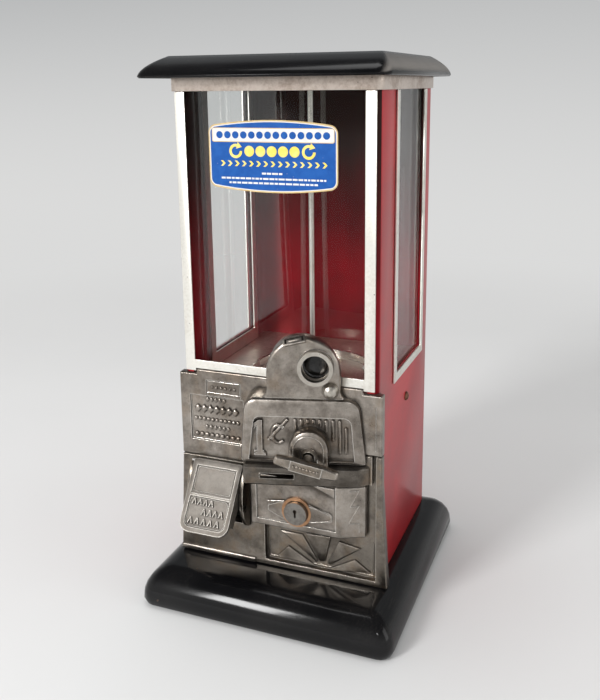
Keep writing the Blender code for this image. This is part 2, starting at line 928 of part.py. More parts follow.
def make_gum_wheel():
    """A disc with ball pockets and a raised cone that sheds the gum outward."""
    bottom = bowl_floor_top + seat_gap
    top = bottom + wheel_thickness
    crown = top + wheel_cone_height
    bore = rod_radius + 2 * running_gap
    hub_foot = spur_bottom
    hub_top = crown + rod_radius
    profile = [(bore, hub_top), (wheel_hub_radius, hub_top), (wheel_hub_radius, crown),
               (pocket_circle - pocket_radius, top), (wheel_radius, top), (wheel_radius, bottom),
               (wheel_hub_radius, bottom), (wheel_hub_radius, hub_foot), (bore, hub_foot)]
    wheel = turned_ring('gum_wheel', profile, (wheel_x, wheel_y, 0), steps=40)
    for k in range(pocket_count):
        angle = math.radians(drop_angle + 360 * k / pocket_count)
        x = wheel_x + pocket_circle * math.cos(angle)
        y = wheel_y + pocket_circle * math.sin(angle)
        low, high = (x, y, bottom - overrun), (x, y, crown + overrun)
        cut(wheel, cylinder('pocket', pocket_radius, low, high, sides=20))
    floor_aluminium(wheel)


def make_floor_brackets():
    """An angle along each side of the case carries the floor."""
    wall = half_case_width - case_sheet - seat_gap
    top = floor_top - floor_thickness - seat_gap
    t, leg = bracket_sheet, bracket_leg
    half = bracket_length / 2
    for name, side in (('left', -1), ('right', 1)):
        points = [(side * wall, top), (side * (wall - leg), top), (side * (wall - leg), top - t),
                  (side * (wall - t), top - t), (side * (wall - t), top - leg), (side * wall, top - leg)]
        plain_steel(front_solid(f'floor_bracket_{name}', points, -half, half))


def make_rod_strap():
    """A strap across the case, under the wheel gear, that the centre rod stands in."""
    wall = half_case_width - case_sheet - seat_gap
    bottom = floor_top - floor_thickness - bracket_leg - seat_gap
    foot = spur_bottom - 2 * strap_thickness
    t = strap_thickness
    points = [(-wall, bottom), (-wall, foot), (wall, foot), (wall, bottom), (wall - t, bottom),
              (wall - t, foot + t), (-wall + t, foot + t), (-wall + t, bottom)]
    front = wheel_y - strap_front
    strap = front_solid('rod_strap', points, front, front + strap_width)
    cut(strap, cylinder('strap_hole', rod_radius + seat_gap, (wheel_x, wheel_y, foot - overrun),
                        (wheel_x, wheel_y, foot + t + overrun), sides=16))
    plain_steel(strap)


def make_ball_deflector():
    """A small polished hood on the rim that keeps gum from wedging over the wheel."""
    angle = math.radians(deflector_angle)
    reach = rim_outer_radius - deflector_radius / 2
    x = wheel_x + reach * math.cos(angle)
    y = wheel_y + reach * math.sin(angle)
    seat = floor_top + rim_height + 2 * seat_gap
    r, rise = deflector_radius, deflector_height
    profile = [(0, seat + rise)]
    angles = [math.radians(a) for a in (25, 50, 75)]
    profile += [(r * math.sin(a), seat + rise * math.cos(a)) for a in angles]
    profile += [(r, seat), (0, seat)]
    polished_steel(turned('ball_deflector', profile, (x, y, 0), steps=20))


def make_gum_cup():
    """The sheet cup that catches the gum behind the flap: open above and in front, its floor sloping."""
    t = cup_sheet
    front = casting_back + seat_gap + t
    top = bowl_floor_top - bowl_floor_thickness - seat_gap
    shape = bmesh.new()
    corners = {}
    for x_name, x in (('l', cup_left), ('r', cup_right)):
        for y_name, y, floor in (('f', front, cup_floor_front), ('b', cup_back, cup_floor_back)):
            corners[x_name + y_name + 'd'] = shape.verts.new((x, y, floor))
            corners[x_name + y_name + 'u'] = shape.verts.new((x, y, top))
    for names in (('lfd', 'lbd', 'lbu', 'lfu'), ('rbd', 'rfd', 'rfu', 'rbu'),
                  ('lbd', 'rbd', 'rbu', 'lbu'), ('lbd', 'lfd', 'rfd', 'rbd')):
        shape.faces.new([corners[key] for key in names])
    bmesh.ops.recalc_face_normals(shape, faces=shape.faces)
    cup = mesh_object('gum_cup', shape)
    thicken = cup.modifiers.new('Solidify', 'SOLIDIFY')
    thicken.thickness = t
    thicken.offset = -1.0
    thicken.use_even_offset = True
    plain_steel(cup)


# Front castings

def casting_half(height):
    """Half the castings' width at a height: straight above the left joint, flared below it."""
    share = max(0.0, (left_joint - height) / (left_joint - casting_foot))
    return casting_half_width + (casting_foot_half_width - casting_half_width) * share


def shaft_point(depth, across=0.0):
    """A point on the handle shaft, depth behind the coin head's face."""
    turn = math.radians(head_turn)
    x = head_x + across * math.cos(turn) - depth * math.sin(turn)
    y = head_y + across * math.sin(turn) + depth * math.cos(turn)
    return (x, y, shaft_height)


def make_shaft_bore(name, radius):
    return cylinder(name, radius, shaft_point(-casting_depth), shaft_point(6 * casting_depth), sides=24)


def make_upper_casting():
    """The upper plate: a raised middle along its top, and on the left the plaque with a small tab."""
    w, r = casting_half_width, casting_raised_half
    points = [(-w, left_joint + joint_clearance), (joint_step_x, left_joint + joint_clearance),
              (joint_step_x, right_joint + joint_clearance), (w, right_joint + joint_clearance),
              (w, casting_top), (r, casting_top), (r, casting_raised_top), (-r, casting_raised_top),
              (-r, casting_top), (-w, casting_top)]
    plate = front_solid('upper_casting', points, casting_front, casting_back)
    round_edges(plate, casting_edge_radius, 1)
    floor = casting_front + plaque_depth
    cut(plate, box('plaque_recess', (plaque_left, casting_front - overrun, plaque_bottom),
                   (plaque_right, floor, plaque_top)))
    cut(plate, box('plaque_tab', (tab_left, casting_front - overrun, plaque_top - overrun),
                   (tab_right, floor - plaque_depth / 3, tab_top)))
    cut(plate, box('floor_pocket', (-pocket_half_width, web_back, pocket_bottom),
                   (pocket_half_width, casting_back + overrun, pocket_top)))
    cut(plate, make_shaft_bore('upper_shaft_bore', shaft_radius + 2 * running_gap))
    aged_casting(plate)


def make_lower_casting():
    """The lower plate, flared toward its foot: the chute opening on the left, and on the right a
    sunk panel with the opening for the cash drawer."""
    wide, foot = casting_half(right_joint), casting_foot_half_width
    points = [(-foot, casting_foot), (foot, casting_foot), (casting_half_width, left_joint),
              (wide, right_joint), (joint_step_x + joint_clearance, right_joint),
              (joint_step_x + joint_clearance, left_joint), (-casting_half_width, left_joint)]
    plate = front_solid('lower_casting', points, casting_front, casting_back)
    round_edges(plate, casting_edge_radius, 1)
    through = (casting_front - overrun, casting_back + overrun)
    chute = box('chute_opening', (chute_left, through[0], chute_bottom), (chute_right, through[1], chute_top))
    panel = box('panel_recess', (panel_left, through[0], panel_bottom),
                (panel_right, casting_front + panel_recess, panel_top))
    groove = box('side_groove', (side_groove_left, through[0], panel_top - overrun),
                 (panel_right, casting_front + panel_recess, right_joint + overrun))
    drawer = box('drawer_opening', (drawer_hole_left, through[0], drawer_hole_bottom),
                 (drawer_hole_right, through[1], drawer_hole_top))
    coin = box('coin_opening', (head_x - coin_diameter, through[0], visor_bottom + visor_wall),
               (head_x, through[1], visor_top - visor_wall))
    cut(plate, chute, panel, groove, drawer, coin)
    cut(plate, make_shaft_bore('lower_shaft_bore', shaft_radius + 2 * running_gap))
    aged_casting(plate)


# Gum flap

def make_cheeks():
    """Two half-oval cheeks stand out beside the flap. They hold its pin and a stop under it."""
    start = casting_front - seat_gap
    points = []
    steps = 12
    for i in range(steps + 1):
        angle = math.radians(90 + 180 * i / steps)
        y, z = start + cheek_reach * math.cos(angle), cheek_middle + cheek_half_height * math.sin(angle)
        points.append((y, z))
    inner = flap_half_width + cheek_gap
    tilt = math.radians(flap_tilt)
    behind = stop_radius + seat_gap
    stop_y = hinge_y + behind * math.cos(tilt) - stop_drop * math.sin(tilt)
    stop_z = hinge_z - behind * math.sin(tilt) - stop_drop * math.cos(tilt)
    for name, side in (('left', -1), ('right', 1)):
        near = flap_x + side * inner
        far = near + side * cheek_thickness
        cheek = side_solid(f'chute_cheek_{name}', points, min(near, far), max(near, far))
        stop = cylinder('flap_stop', stop_radius, (near + side * cheek_thickness / 2, stop_y, stop_z),
                        (near - side * stop_length, stop_y, stop_z), sides=12)
        join(cheek, stop)
        hole = cylinder('cheek_hole', pin_radius + seat_gap, (near - side * overrun, hinge_y, hinge_z),
                        (far + side * overrun, hinge_y, hinge_z), sides=14)
        cut(cheek, hole)
        aged_casting(cheek)
    outer = inner + cheek_thickness
    left, right = flap_x - outer, flap_x + outer
    pin = cylinder('flap_pin', pin_radius, (left, hinge_y, hinge_z), (right, hinge_y, hinge_z), sides=14)
    plain_steel(pin)


def make_flap():
    """The thick flap, its lower corners well rounded, with two sunk panels and a skirt on each side."""
    seat = bpy.data.objects.new('flap_axis', None)
    helpers.objects.link(seat)
    seat.location = (flap_x, hinge_y, hinge_z)
    seat.rotation_euler = (math.radians(-flap_tilt), 0, 0)
    w, length, t = flap_half_width, flap_length, flap_thickness
    corners = [(-w, knuckle_radius / 2), (-w, -length), (w, -length), (w, knuckle_radius / 2)]
    outline = rounded_outline(corners, [0, flap_corner_radius, flap_corner_radius, 0])
    plate = front_solid('chute_flap', outline, -t, 0, seat)
    knuckle = cylinder('flap_knuckle', knuckle_radius, (-w + flap_skirt, 0, 0), (w - flap_skirt, 0, 0), seat,
                       sides=16)
    join(plate, knuckle)
    for side in (-1, 1):
        outer, inner = side * (w - flap_skirt_inset), side * (w - flap_skirt)
        skirt = box('flap_skirt', (min(outer, inner), -t / 2, -length + flap_corner_radius),
                    (max(outer, inner), flap_skirt_depth, -flap_skirt_start), seat)
        join(plate, skirt)
    floor = -t + flap_relief
    inside = w - flap_rim
    divider = length * flap_divider_share
    upper = [(-inside, -flap_rim), (-inside, -divider), (inside, -divider), (inside, -flap_rim)]
    lower = [(-inside, -divider - flap_rim / 2), (-inside, -length + flap_rim),
             (inside, -length + flap_rim), (inside, -divider - flap_rim / 2)]
    deep_corner = flap_corner_radius - flap_rim
    cut(plate, front_solid('upper_panel', rounded_outline(upper, [0, 0, 0, 0]), -t - overrun, floor, seat))
    cut(plate, front_solid('lower_panel', rounded_outline(lower, [0, deep_corner, deep_corner, 0]),
                           -t - overrun, floor, seat))
    left, right = (-w - overrun, 0, 0), (w + overrun, 0, 0)
    cut(plate, cylinder('knuckle_bore', pin_radius + running_gap, left, right, seat, sides=14))
    bright_casting(plate)


# Coin head, drawn in its own turned frame: x across, y back from its face, z up

def dome_points(shrink=0.0):
    """The dome's outline, its sides flaring into the frame below."""
    radius = dome_radius - shrink
    flare = dome_flare
    edge = radius + flare
    foot = frame_top - frame_corner_radius
    shoulder = frame_top - shrink
    points = [(dome_x + edge, foot)]
    points += arc((dome_x + edge, shoulder + flare), flare, 270, 180, 3)
    points += arc((dome_x, dome_z), radius, 0, 180, 16)
    points += arc((dome_x - edge, shoulder + flare), flare, 0, -90, 3)
    points.append((dome_x - edge, foot))
    return points


def frame_points(shrink=0.0):
    top = frame_top - shrink
    corners = [(-frame_foot_left + shrink, frame_bottom), (frame_foot_right - shrink, frame_bottom),
               (frame_head_right - shrink, top), (-frame_head_left + shrink, top)]
    radius = frame_corner_radius - shrink
    return rounded_outline(corners, [0, 0, radius, radius])


def arch_points(half, foot, height):
    points = [(arch_x + half, foot)]
    points += arc((arch_x, height), half, 0, 180, 12)
    points.append((arch_x - half, foot))
    return points


def numeral_points():
    """A plain figure one with a flag and a foot."""
    height, half = numeral_height, numeral_width / 2
    foot = recess_bottom + (recess_top - recess_bottom - height) / 2
    stem = half * numeral_stem_share
    serif = height * numeral_serif_share
    top = foot + height
    flag, crook = [height * share for share in numeral_flag_shares]
    x = numeral_x
    return [(x - half, foot), (x + half, foot), (x + half, foot + serif), (x + stem, foot + serif),
            (x + stem, top), (x - stem * numeral_beak_share, top), (x - half, top - flag),
            (x - half, top - flag - serif), (x - stem, top - crook), (x - stem, foot + serif),
            (x - half, foot + serif)]


def back_trim(name, seat_plane):
    """A block that trims a turned shape to the plane of the castings' front."""
    reach = base_depth
    return box(name, (-reach, seat_plane, 0), (reach, reach, overall_height))


def make_coin_head():
    """The cast cover: a framed panel with a numeral and an arch boss, and above it the dome with the
    coin slot and the viewer. It is turned in plan, so it stands out much further on its left."""
    depth = 2 * casting_foot_half_width * math.sin(math.radians(head_turn))
    head = front_solid('coin_head', frame_points(), 0, depth, head_seat)
    round_edges(head, frame_edge_radius, 2)
    dome = front_solid('dome_block', dome_points(), dome_setback, depth, head_seat)
    round_edges(dome, dome_edge_radius, 3)
    join(head, dome)
    viewer_front = dome_setback - viewer_boss_reach
    viewer_boss = cylinder('viewer_boss', viewer_boss_radius - viewer_boss_reach,
                           (viewer_x, viewer_front, viewer_z), (viewer_x, dome_setback + overrun, viewer_z),
                           head_seat, tip_radius=viewer_boss_radius)
    join(head, viewer_boss)
    hollow_frame = front_solid('frame_hollow', frame_points(head_wall), head_inside,
                               depth + overrun, head_seat)
    hollow_dome = front_solid('dome_hollow', dome_points(head_wall), head_inside,
                              depth + overrun, head_seat)
    join(hollow_frame, hollow_dome)
    cut(head, hollow_frame)
    recess = [(-recess_foot_left, recess_bottom), (recess_foot_right, recess_bottom),
              (recess_head_right, recess_top), (-recess_head_left, recess_top)]
    radii = [0, 0, recess_corner_radius, recess_corner_radius]
    cut(head, front_solid('head_recess', rounded_outline(recess, radii), -overrun, frame_relief, head_seat))
    arch = front_solid('arch_boss', arch_points(arch_half_width, frame_bottom + seat_gap, arch_height),
                       -arch_reach, frame_relief + head_wall / 2, head_seat)
    round_edges(arch, arch_edge_radius, 2)
    numeral = front_solid('numeral_one', numeral_points(), frame_relief - numeral_relief,
                          frame_relief + head_wall / 2, head_seat)
    join(head, arch, numeral)
    axis = (0, shaft_height)
    bore = cylinder('shaft_bore', shaft_radius + 2 * running_gap, (axis[0], -2 * arch_reach, axis[1]),
                    (axis[0], 2 * casting_depth, axis[1]), head_seat)
    throat = arch_points(arch_opening_half, arch_opening_bottom, arch_opening_height)
    opening = front_solid('arch_opening', throat, -2 * arch_reach, arch_opening_depth - arch_reach, head_seat)
    bush_bore = cylinder('bush_bore', bush_radius + seat_gap, (axis[0], bush_setback, axis[1]),
                         (axis[0], 2 * casting_depth, axis[1]), head_seat)
    viewer_bore = cylinder('viewer_bore', bezel_radius + seat_gap, (viewer_x, -overrun, viewer_z),
                           (viewer_x, dome_setback + bezel_reach, viewer_z), head_seat)
    sight_bore = cylinder('sight_bore', bezel_radius - bezel_width, (viewer_x, -overrun, viewer_z),
                          (viewer_x, dome_setback + 2 * head_wall, viewer_z), head_seat)
    cut(head, bore, opening, bush_bore, viewer_bore, sight_bore, make_slot_cutter(),
        back_trim('head_trim', head_back))
    aged_casting(head)


def make_slot_cutter():
    angle = math.radians(slot_angle)
    x = dome_x + dome_radius * math.cos(angle)
    z = dome_z + dome_radius * math.sin(angle)
    seat = bpy.data.objects.new('slot_seat', None)
    helpers.objects.link(seat)
    seat.parent = head_seat
    seat.location = (x, slot_setback, z)
    seat.rotation_euler = (0, -(angle - math.radians(90)), 0)
    half = slot_length / 2
    width = slot_thickness / 2
    return box('coin_slot', (-half, -width, -slot_depth), (half, width, overrun), seat)


def make_viewer():
    """A polished bezel round the sight bore, and a domed lens behind it."""
    turn = Matrix.Rotation(math.radians(90), 4, 'X')
    front = dome_setback - viewer_boss_reach - bezel_reach
    back = dome_setback + bezel_reach - seat_gap
    outer, inner = bezel_radius, bezel_radius - bezel_width
    half = bezel_width / 2
    profile = arc((inner + half, -front - half), half, 180, 0, 4) + [(outer, -back), (inner, -back)]
    bezel = turned_ring('viewer_bezel', profile, (viewer_x, 0, viewer_z), head_seat, steps=32)
    bezel.rotation_euler = turn.to_euler()
    nickel(bezel)
    radius = inner - seat_gap
    lens_back = dome_setback + bezel_reach + lens_thickness
    steps = 4
    profile = []
    for i in range(steps + 1):
        share = i / steps
        profile.append((radius * share, -(lens_back - lens_thickness) + lens_crown * (1 - share * share)))
    profile += [(radius, -lens_back), (0, -lens_back)]
    lens = turned('viewer_lens', profile, (viewer_x, 0, viewer_z), head_seat, steps=24)
    lens.rotation_euler = turn.to_euler()
    dark_glass(lens)
    r = button_radius
    seat = -(dome_setback - seat_gap)
    profile = [(0, seat + r)]
    profile += [(r * math.sin(math.radians(a)), seat + r * math.cos(math.radians(a))) for a in (22, 45, 68)]
    profile += [(r, seat), (0, seat)]
    button = turned('boss_button', profile, (button_x, 0, button_z), head_seat, steps=24)
    button.rotation_euler = turn.to_euler()
    polished_steel(button)


def make_coin_track():
    """A channel inside the dome that leads a coin from the slot past the viewer to the carrier."""
    half = coin_diameter / 2 + track_wall + seat_gap
    front = head_inside + seat_gap
    back = front + slot_thickness + track_wall
    x = dome_x
    points = [(x - half, front), (x - half + track_wall, front), (x - half + track_wall, back - track_wall),
              (x + half - track_wall, back - track_wall), (x + half - track_wall, front), (x + half, front),
              (x + half, back), (x - half, back)]
    bottom = shaft_height + carrier_radius + overrun
    top = dome_z + dome_radius / 2
    track = plan_solid('coin_track', points, bottom, top, head_seat)
    plain_steel(track)


def make_visor():
    """A hood above the cash drawer, turned with the coin head, with a slot in its face."""
    back = 2 * casting_foot_half_width * math.sin(math.radians(head_turn))
    front = -visor_reach
    left, right = -visor_left, visor_right
    points = [(left, front), (right, front), (right + visor_cheek_width, front + visor_cheek_depth),
              (right + visor_cheek_width, back), (left, back)]
    visor = plan_solid('coin_visor', points, visor_bottom, visor_top, head_seat)
    round_edges(visor, visor_edge_radius, 1)
    wall = visor_wall
    inside = [(left + wall, front + wall), (right - wall / 2, front + wall),
              (right + visor_cheek_width - wall, front + visor_cheek_depth),
              (right + visor_cheek_width - wall, back + overrun), (left + wall, back + overrun)]
    hollow = plan_solid('visor_hollow', inside, visor_bottom - overrun, visor_top - wall, head_seat)
    slot = box('visor_slot', (-visor_slot_left, front - overrun, visor_slot_bottom),
               (-visor_slot_right, front + wall + overrun, visor_slot_bottom + visor_slot_height), head_seat)
    reach = carrier_radius - wall / 2
    coin = box('visor_coin_hole', (-reach, head_inside, visor_top - wall - overrun),
               (reach, head_inside + head_wall, visor_top + overrun), head_seat)
    cut(visor, hollow, slot, coin, back_trim('visor_trim', head_back))
    aged_casting(visor)


# Handle train, in the coin head's frame

def counter_depth():
    """How far behind the coin head's face the upright countershaft stands."""
    turn = math.radians(head_turn)
    dx, dy = wheel_x - head_x, wheel_y - head_y
    across = dx * math.cos(turn) + dy * math.sin(turn)
    depth = -dx * math.sin(turn) + dy * math.cos(turn)
    centres = spur_module * (pinion_teeth + wheel_teeth) / 2
    return depth - math.sqrt(centres ** 2 - across ** 2)


def make_handle():
    """A short bar with a plate at its middle, its ends drawn in, on the outer end of the shaft."""
    seat = bpy.data.objects.new('handle_axis', None)
    helpers.objects.link(seat)
    seat.parent = head_seat
    seat.location = (0, 0, shaft_height)
    seat.rotation_euler = (0, math.radians(handle_tilt), 0)
    half, tip, mid = handle_half_length, handle_tip_height / 2, handle_height / 2
    waist = handle_plate_half
    corners = [(half, -tip), (half, tip), (waist, mid), (-waist, mid), (-half, tip), (-half, -tip),
               (-waist, -mid), (waist, -mid)]
    radii = [handle_end_radius, handle_end_radius, 0, 0, handle_end_radius, handle_end_radius, 0, 0]
    back, front = -handle_back, -handle_back - handle_thickness
    bar = front_solid('handle_bar', rounded_outline(corners, radii, 3), front, back, seat)
    round_edges(bar, handle_plate_rise, 1)
    plate_half = handle_plate_height / 2
    plate = box('handle_plate', (-waist, front - handle_plate_rise, -plate_half),
                (waist, front + handle_thickness / 2, plate_half), seat)
    join(bar, plate)
    bright_casting(bar)
    end = counter_depth() - mitre_radius + mitre_face
    shaft = cylinder('handle_shaft', shaft_radius, (0, back + seat_gap, 0), (0, end / 2, 0), seat, sides=24)
    tail = cylinder('shaft_tail', tail_radius, (0, end / 2 - overrun, 0), (0, end, 0), seat, sides=24)
    polished_steel(join(shaft, tail))
    carrier_back = head_inside + 2 * seat_gap
    carrier = cylinder('coin_carrier', carrier_radius, (0, carrier_back, 0),
                       (0, carrier_back + carrier_thickness, 0), seat, sides=36)
    notch_centre = carrier_radius + coin_diameter / 4
    notch_back = carrier_back + carrier_thickness + overrun
    low, high = (0, 0, notch_centre), (0, notch_back, notch_centre)
    notch = cylinder('coin_notch', coin_diameter / 2, low, high, seat)
    hub = cylinder('carrier_bore', shaft_radius + seat_gap, (0, 0, 0), (0, notch_back, 0), seat)
    cut(carrier, notch, hub)
    gear_brass(carrier)
    make_mitre('drive_mitre', seat, (0, counter_depth(), 0), -90, tail_radius + seat_gap,
               -math.radians(handle_tilt))


def make_mitre(name, seat, apex, turn, bore, phase):
    """A mitre gear: its pitch cone closes at the apex, where the two axes meet."""
    rings = []
    pitch_angle = 2 * math.pi / mitre_teeth
    addendum, dedendum = [share * mitre_radius / mitre_teeth for share in mitre_tooth_shares]
    for scale, inner in ((1.0, False), (1.0 - mitre_face / mitre_radius, True)):
        toothed, plain = [], []
        for k in range(mitre_teeth):
            centre = k * pitch_angle + phase
            for share, lift in ((-tooth_share / 2, -dedendum), (-tip_share / 2, addendum),
                                (tip_share / 2, addendum), (tooth_share / 2, -dedendum)):
                angle = centre + share * pitch_angle
                radius = (mitre_radius + lift * math.sqrt(0.5)) * scale
                height = (-mitre_radius + lift * math.sqrt(0.5)) * scale
                toothed.append((radius * math.cos(angle), radius * math.sin(angle), height))
                level = -mitre_radius * scale + (mitre_back / 2 if inner else -mitre_back)
                plain.append((bore * math.cos(angle), bore * math.sin(angle), level))
        rings.append((toothed, plain))
    order = [rings[0][1], rings[0][0], rings[1][0], rings[1][1]]
    place = Matrix.Translation(apex) @ Matrix.Rotation(math.radians(turn), 4, 'X')
    moved = [[tuple(place @ Vector(point)) for point in ring] for ring in order]
    return gear_brass(ring_solid(name, moved, capped=False, seat=seat))


def make_spur(name, teeth, centre, bottom, bore, phase, seat=None):
    pitch_radius = spur_module * teeth / 2
    pitch_angle = 2 * math.pi / teeth
    addendum, dedendum = [share * spur_module for share in spur_tooth_shares]
    root = tooth_share / 2 + root_share
    rings = []
    for radius_kind, height in (('bore', bottom), ('tooth', bottom), ('tooth', bottom + spur_face),
                                ('bore', bottom + spur_face)):
        ring = []
        for k in range(teeth):
            for share, lift in ((-root, -dedendum), (-tip_share / 2, addendum), (tip_share / 2, addendum),
                                (root, -dedendum)):
                angle = phase + (k + share) * pitch_angle
                radius = bore if radius_kind == 'bore' else pitch_radius + lift
                across, along = radius * math.cos(angle), radius * math.sin(angle)
                ring.append((centre[0] + across, centre[1] + along, height))
        rings.append(ring)
    return gear_brass(ring_solid(name, rings, capped=False, seat=seat))


def make_counter_train():
    """The upright countershaft with its mitre gear and pinion, and the gear that turns the wheel."""
    depth = counter_depth()
    bottom = shaft_height + mitre_radius - mitre_face
    top = spur_bottom + spur_face + seat_gap
    foot, head = (0, depth, bottom), (0, depth, top)
    shaft = cylinder('counter_shaft', counter_radius, foot, head, head_seat, sides=16)
    polished_steel(shaft)
    make_mitre('counter_mitre', head_seat, (0, depth, shaft_height), 180, counter_radius + seat_gap,
               math.pi / mitre_teeth)
    x, y, _ = shaft_point(depth)
    toward = math.atan2(wheel_y - y, wheel_x - x)
    make_spur('counter_pinion', pinion_teeth, (x, y), spur_bottom, counter_radius + seat_gap, toward)
    half_tooth = math.pi / wheel_teeth
    make_spur('wheel_gear', wheel_teeth, (wheel_x, wheel_y), spur_bottom, wheel_hub_radius + seat_gap,
              toward + math.pi + half_tooth)


def make_bearings():
    """A bush in the coin head, and the bracket behind the castings that bears both shafts."""
    front, back = bush_setback + seat_gap, head_inside - seat_gap
    inner = shaft_radius + running_gap
    bush = turned_ring('shaft_bushing', [(inner, -front), (bush_radius, -front), (bush_radius, -back),
                                         (inner, -back)], (0, 0, shaft_height), head_seat, steps=24)
    bush.rotation_euler = (math.radians(90), 0, 0)
    gear_brass(bush)
    x, y, _ = shaft_point(casting_depth * 3)
    start = casting_back + seat_gap
    bracket = box('shaft_bracket', (x - bearing_plate_half, start, bearing_plate_bottom),
                  (x + bearing_plate_half, start + bearing_plate_depth, bearing_plate_top))
    depth = counter_depth()
    turn = math.radians(head_turn)
    arm_start = (start - head_y) / math.cos(turn) + bearing_half_width * math.tan(turn) + seat_gap
    arm = box('bracket_arm', (-bearing_half_width, arm_start, bearing_bottom),
              (bearing_half_width, depth + bearing_half_width, bearing_bottom + bearing_sheet), head_seat)
    join(bracket, arm)
    cut(bracket, make_shaft_bore('bracket_bore', shaft_radius + running_gap))
    cut(bracket, cylinder('upright_bore', counter_radius + running_gap, (0, depth, bearing_bottom - overrun),
                          (0, depth, bearing_bottom + bearing_sheet + overrun), head_seat, sides=16))
    plain_steel(bracket)


# Cash drawer and lock

def make_drawer_front():
    """The drawer's cast front: a sunk field with a raised border, and an angled cheek on the right."""
    front, rim = drawer_front_y, casting_front - seat_gap
    left, right = drawer_left, drawer_right
    step = panel_left + tray_side_gap
    points = [(left, rim), (left, front), (right, front), (right + drawer_chamfer, rim),
              (right + drawer_chamfer, drawer_back), (step, drawer_back), (step, rim)]
    shell = plan_solid('drawer_front', points, drawer_bottom, drawer_top)
    round_edges(shell, drawer_edge_radius, 1)
    field_corners = [(left + drawer_border, drawer_bottom + drawer_border),
                     (right - drawer_border_right, drawer_bottom + drawer_border),
                     (right - drawer_border_right, drawer_top + overrun),
                     (left + drawer_border, drawer_top + overrun)]
    field = front_solid('drawer_field', field_corners, front - overrun, front + drawer_relief)
    cut(shell, field)
    half = escutcheon_half
    left_tip, right_tip = [half * share for share in escutcheon_tip_shares]
    left_radius, right_radius = escutcheon_radii
    x, z = lock_x, lock_z
    waist = x + lock_ring_radius * escutcheon_waist_share
    start, end, shoulder = x - escutcheon_left, x + escutcheon_right, x - lock_ring_radius
    diamond = [(start, z + left_tip), (shoulder, z + half), (waist, z + half), (end, z + right_tip),
               (end, z - right_tip), (waist, z - half), (shoulder, z - half), (start, z - left_tip)]
    radii = [left_radius, 0, 0, right_radius, right_radius, 0, 0, left_radius]
    raised = front_solid('escutcheon', rounded_outline(diamond, radii, 3), front, front + drawer_wall)
    join(shell, raised)
    wall = drawer_wall
    pocket = [(left + wall + drawer_border / 2, front + drawer_relief + wall),
              (right - wall / 2, front + drawer_relief + wall),
              (right + drawer_chamfer / 2, drawer_back + overrun), (step + wall, drawer_back + overrun),
              (step + wall, rim), (left + wall + drawer_border / 2, rim - wall)]
    hollow = plan_solid('drawer_hollow', pocket, drawer_bottom + wall, drawer_top - wall)
    bore = cylinder('lock_bore', lock_body_radius + seat_gap, (lock_x, front - overrun, lock_z),
                    (lock_x, drawer_back + overrun, lock_z), sides=28)
    cut(shell, hollow, bore)
    aged_casting(shell)


def tray_bounds():
    left = drawer_hole_left + tray_side_gap
    right = drawer_hole_right - tray_side_gap
    bottom = drawer_hole_bottom + tray_side_gap
    top = drawer_hole_top - 2 * tray_side_gap
    front = drawer_back + seat_gap
    return left, right, bottom, top, front, front + tray_depth


def make_cash_tray():
    left, right, bottom, top, front, back = tray_bounds()
    tray = box('cash_tray', (left, front, bottom), (right, back, top))
    shape = bmesh.new()
    shape.from_mesh(tray.data)
    lids = [face for face in shape.faces if face.normal.z > 0.5]
    bmesh.ops.delete(shape, geom=lids, context='FACES_ONLY')
    shape.to_mesh(tray.data)
    shape.free()
    thicken = tray.modifiers.new('Solidify', 'SOLIDIFY')
    thicken.thickness = tray_sheet
    thicken.offset = -1.0
    thicken.use_even_offset = True
    hole = cylinder('tray_lock_hole', lock_body_radius + seat_gap, (lock_x, front - overrun, lock_z),
                    (lock_x, front + 2 * overrun, lock_z), sides=28)
    cut(tray, hole)
    plain_steel(tray)


def make_drawer_rails():
    """Two angles behind the lower casting that the tray slides on."""
    left, right, bottom, _, _, back = tray_bounds()
    start = casting_back + seat_gap
    under = bottom - seat_gap
    t, leg = rail_sheet, rail_leg
    for name, side, edge in (('left', -1, left), ('right', 1, right)):
        face = edge + side * (seat_gap + t)
        points = [(face, under + leg), (face - side * t, under + leg), (face - side * t, under),
                  (face - side * (t + leg), under), (face - side * (t + leg), under - t), (face, under - t)]
        plain_steel(front_solid(f'drawer_rail_{name}', points, start, back))


def make_lock():
    """A brass ring, and the plug with its keyhole and, behind the casting, its cam."""
    front = drawer_front_y
    reach = lock_reach
    chamfer = lock_ring_chamfer
    ring_inner = lock_ring_radius - lock_ring_width
    ring = turned_ring('lock_ring', [(ring_inner, reach - front), (lock_ring_radius - chamfer, reach - front),
                                     (lock_ring_radius, reach - chamfer - front),
                                     (lock_ring_radius, seat_gap - front), (ring_inner, seat_gap - front)],
                       (lock_x, 0, lock_z), steps=36)
    ring.rotation_euler = (math.radians(90), 0, 0)
    gear_brass(ring)
    face = front - reach + seat_gap
    end = casting_back + seat_gap
    plug = cylinder('lock_plug', ring_inner - running_gap, (lock_x, face, lock_z),
                    (lock_x, front - seat_gap, lock_z), sides=32)
    body = cylinder('plug_body', lock_body_radius - running_gap, (lock_x, face + overrun / 2, lock_z),
                    (lock_x, end + cam_thickness, lock_z), sides=28)
    cam = box('lock_cam', (lock_x, end, lock_z - cam_width / 2),
              (lock_x + cam_length, end + cam_thickness, lock_z + cam_width / 2))
    join(plug, body, cam)
    keyhole = cylinder('keyhole', keyhole_radius, (lock_x, face - overrun, lock_z + keyhole_slot / 3),
                       (lock_x, face + keyhole_depth, lock_z + keyhole_slot / 3), sides=12)
    key_slot = box('key_slot', (lock_x - keyhole_width / 2, face - overrun, lock_z - keyhole_slot / 2),
                   (lock_x + keyhole_width / 2, face + keyhole_depth, lock_z + keyhole_slot / 3))
    cut(plug, keyhole, key_slot)
    plain_steel(plug)


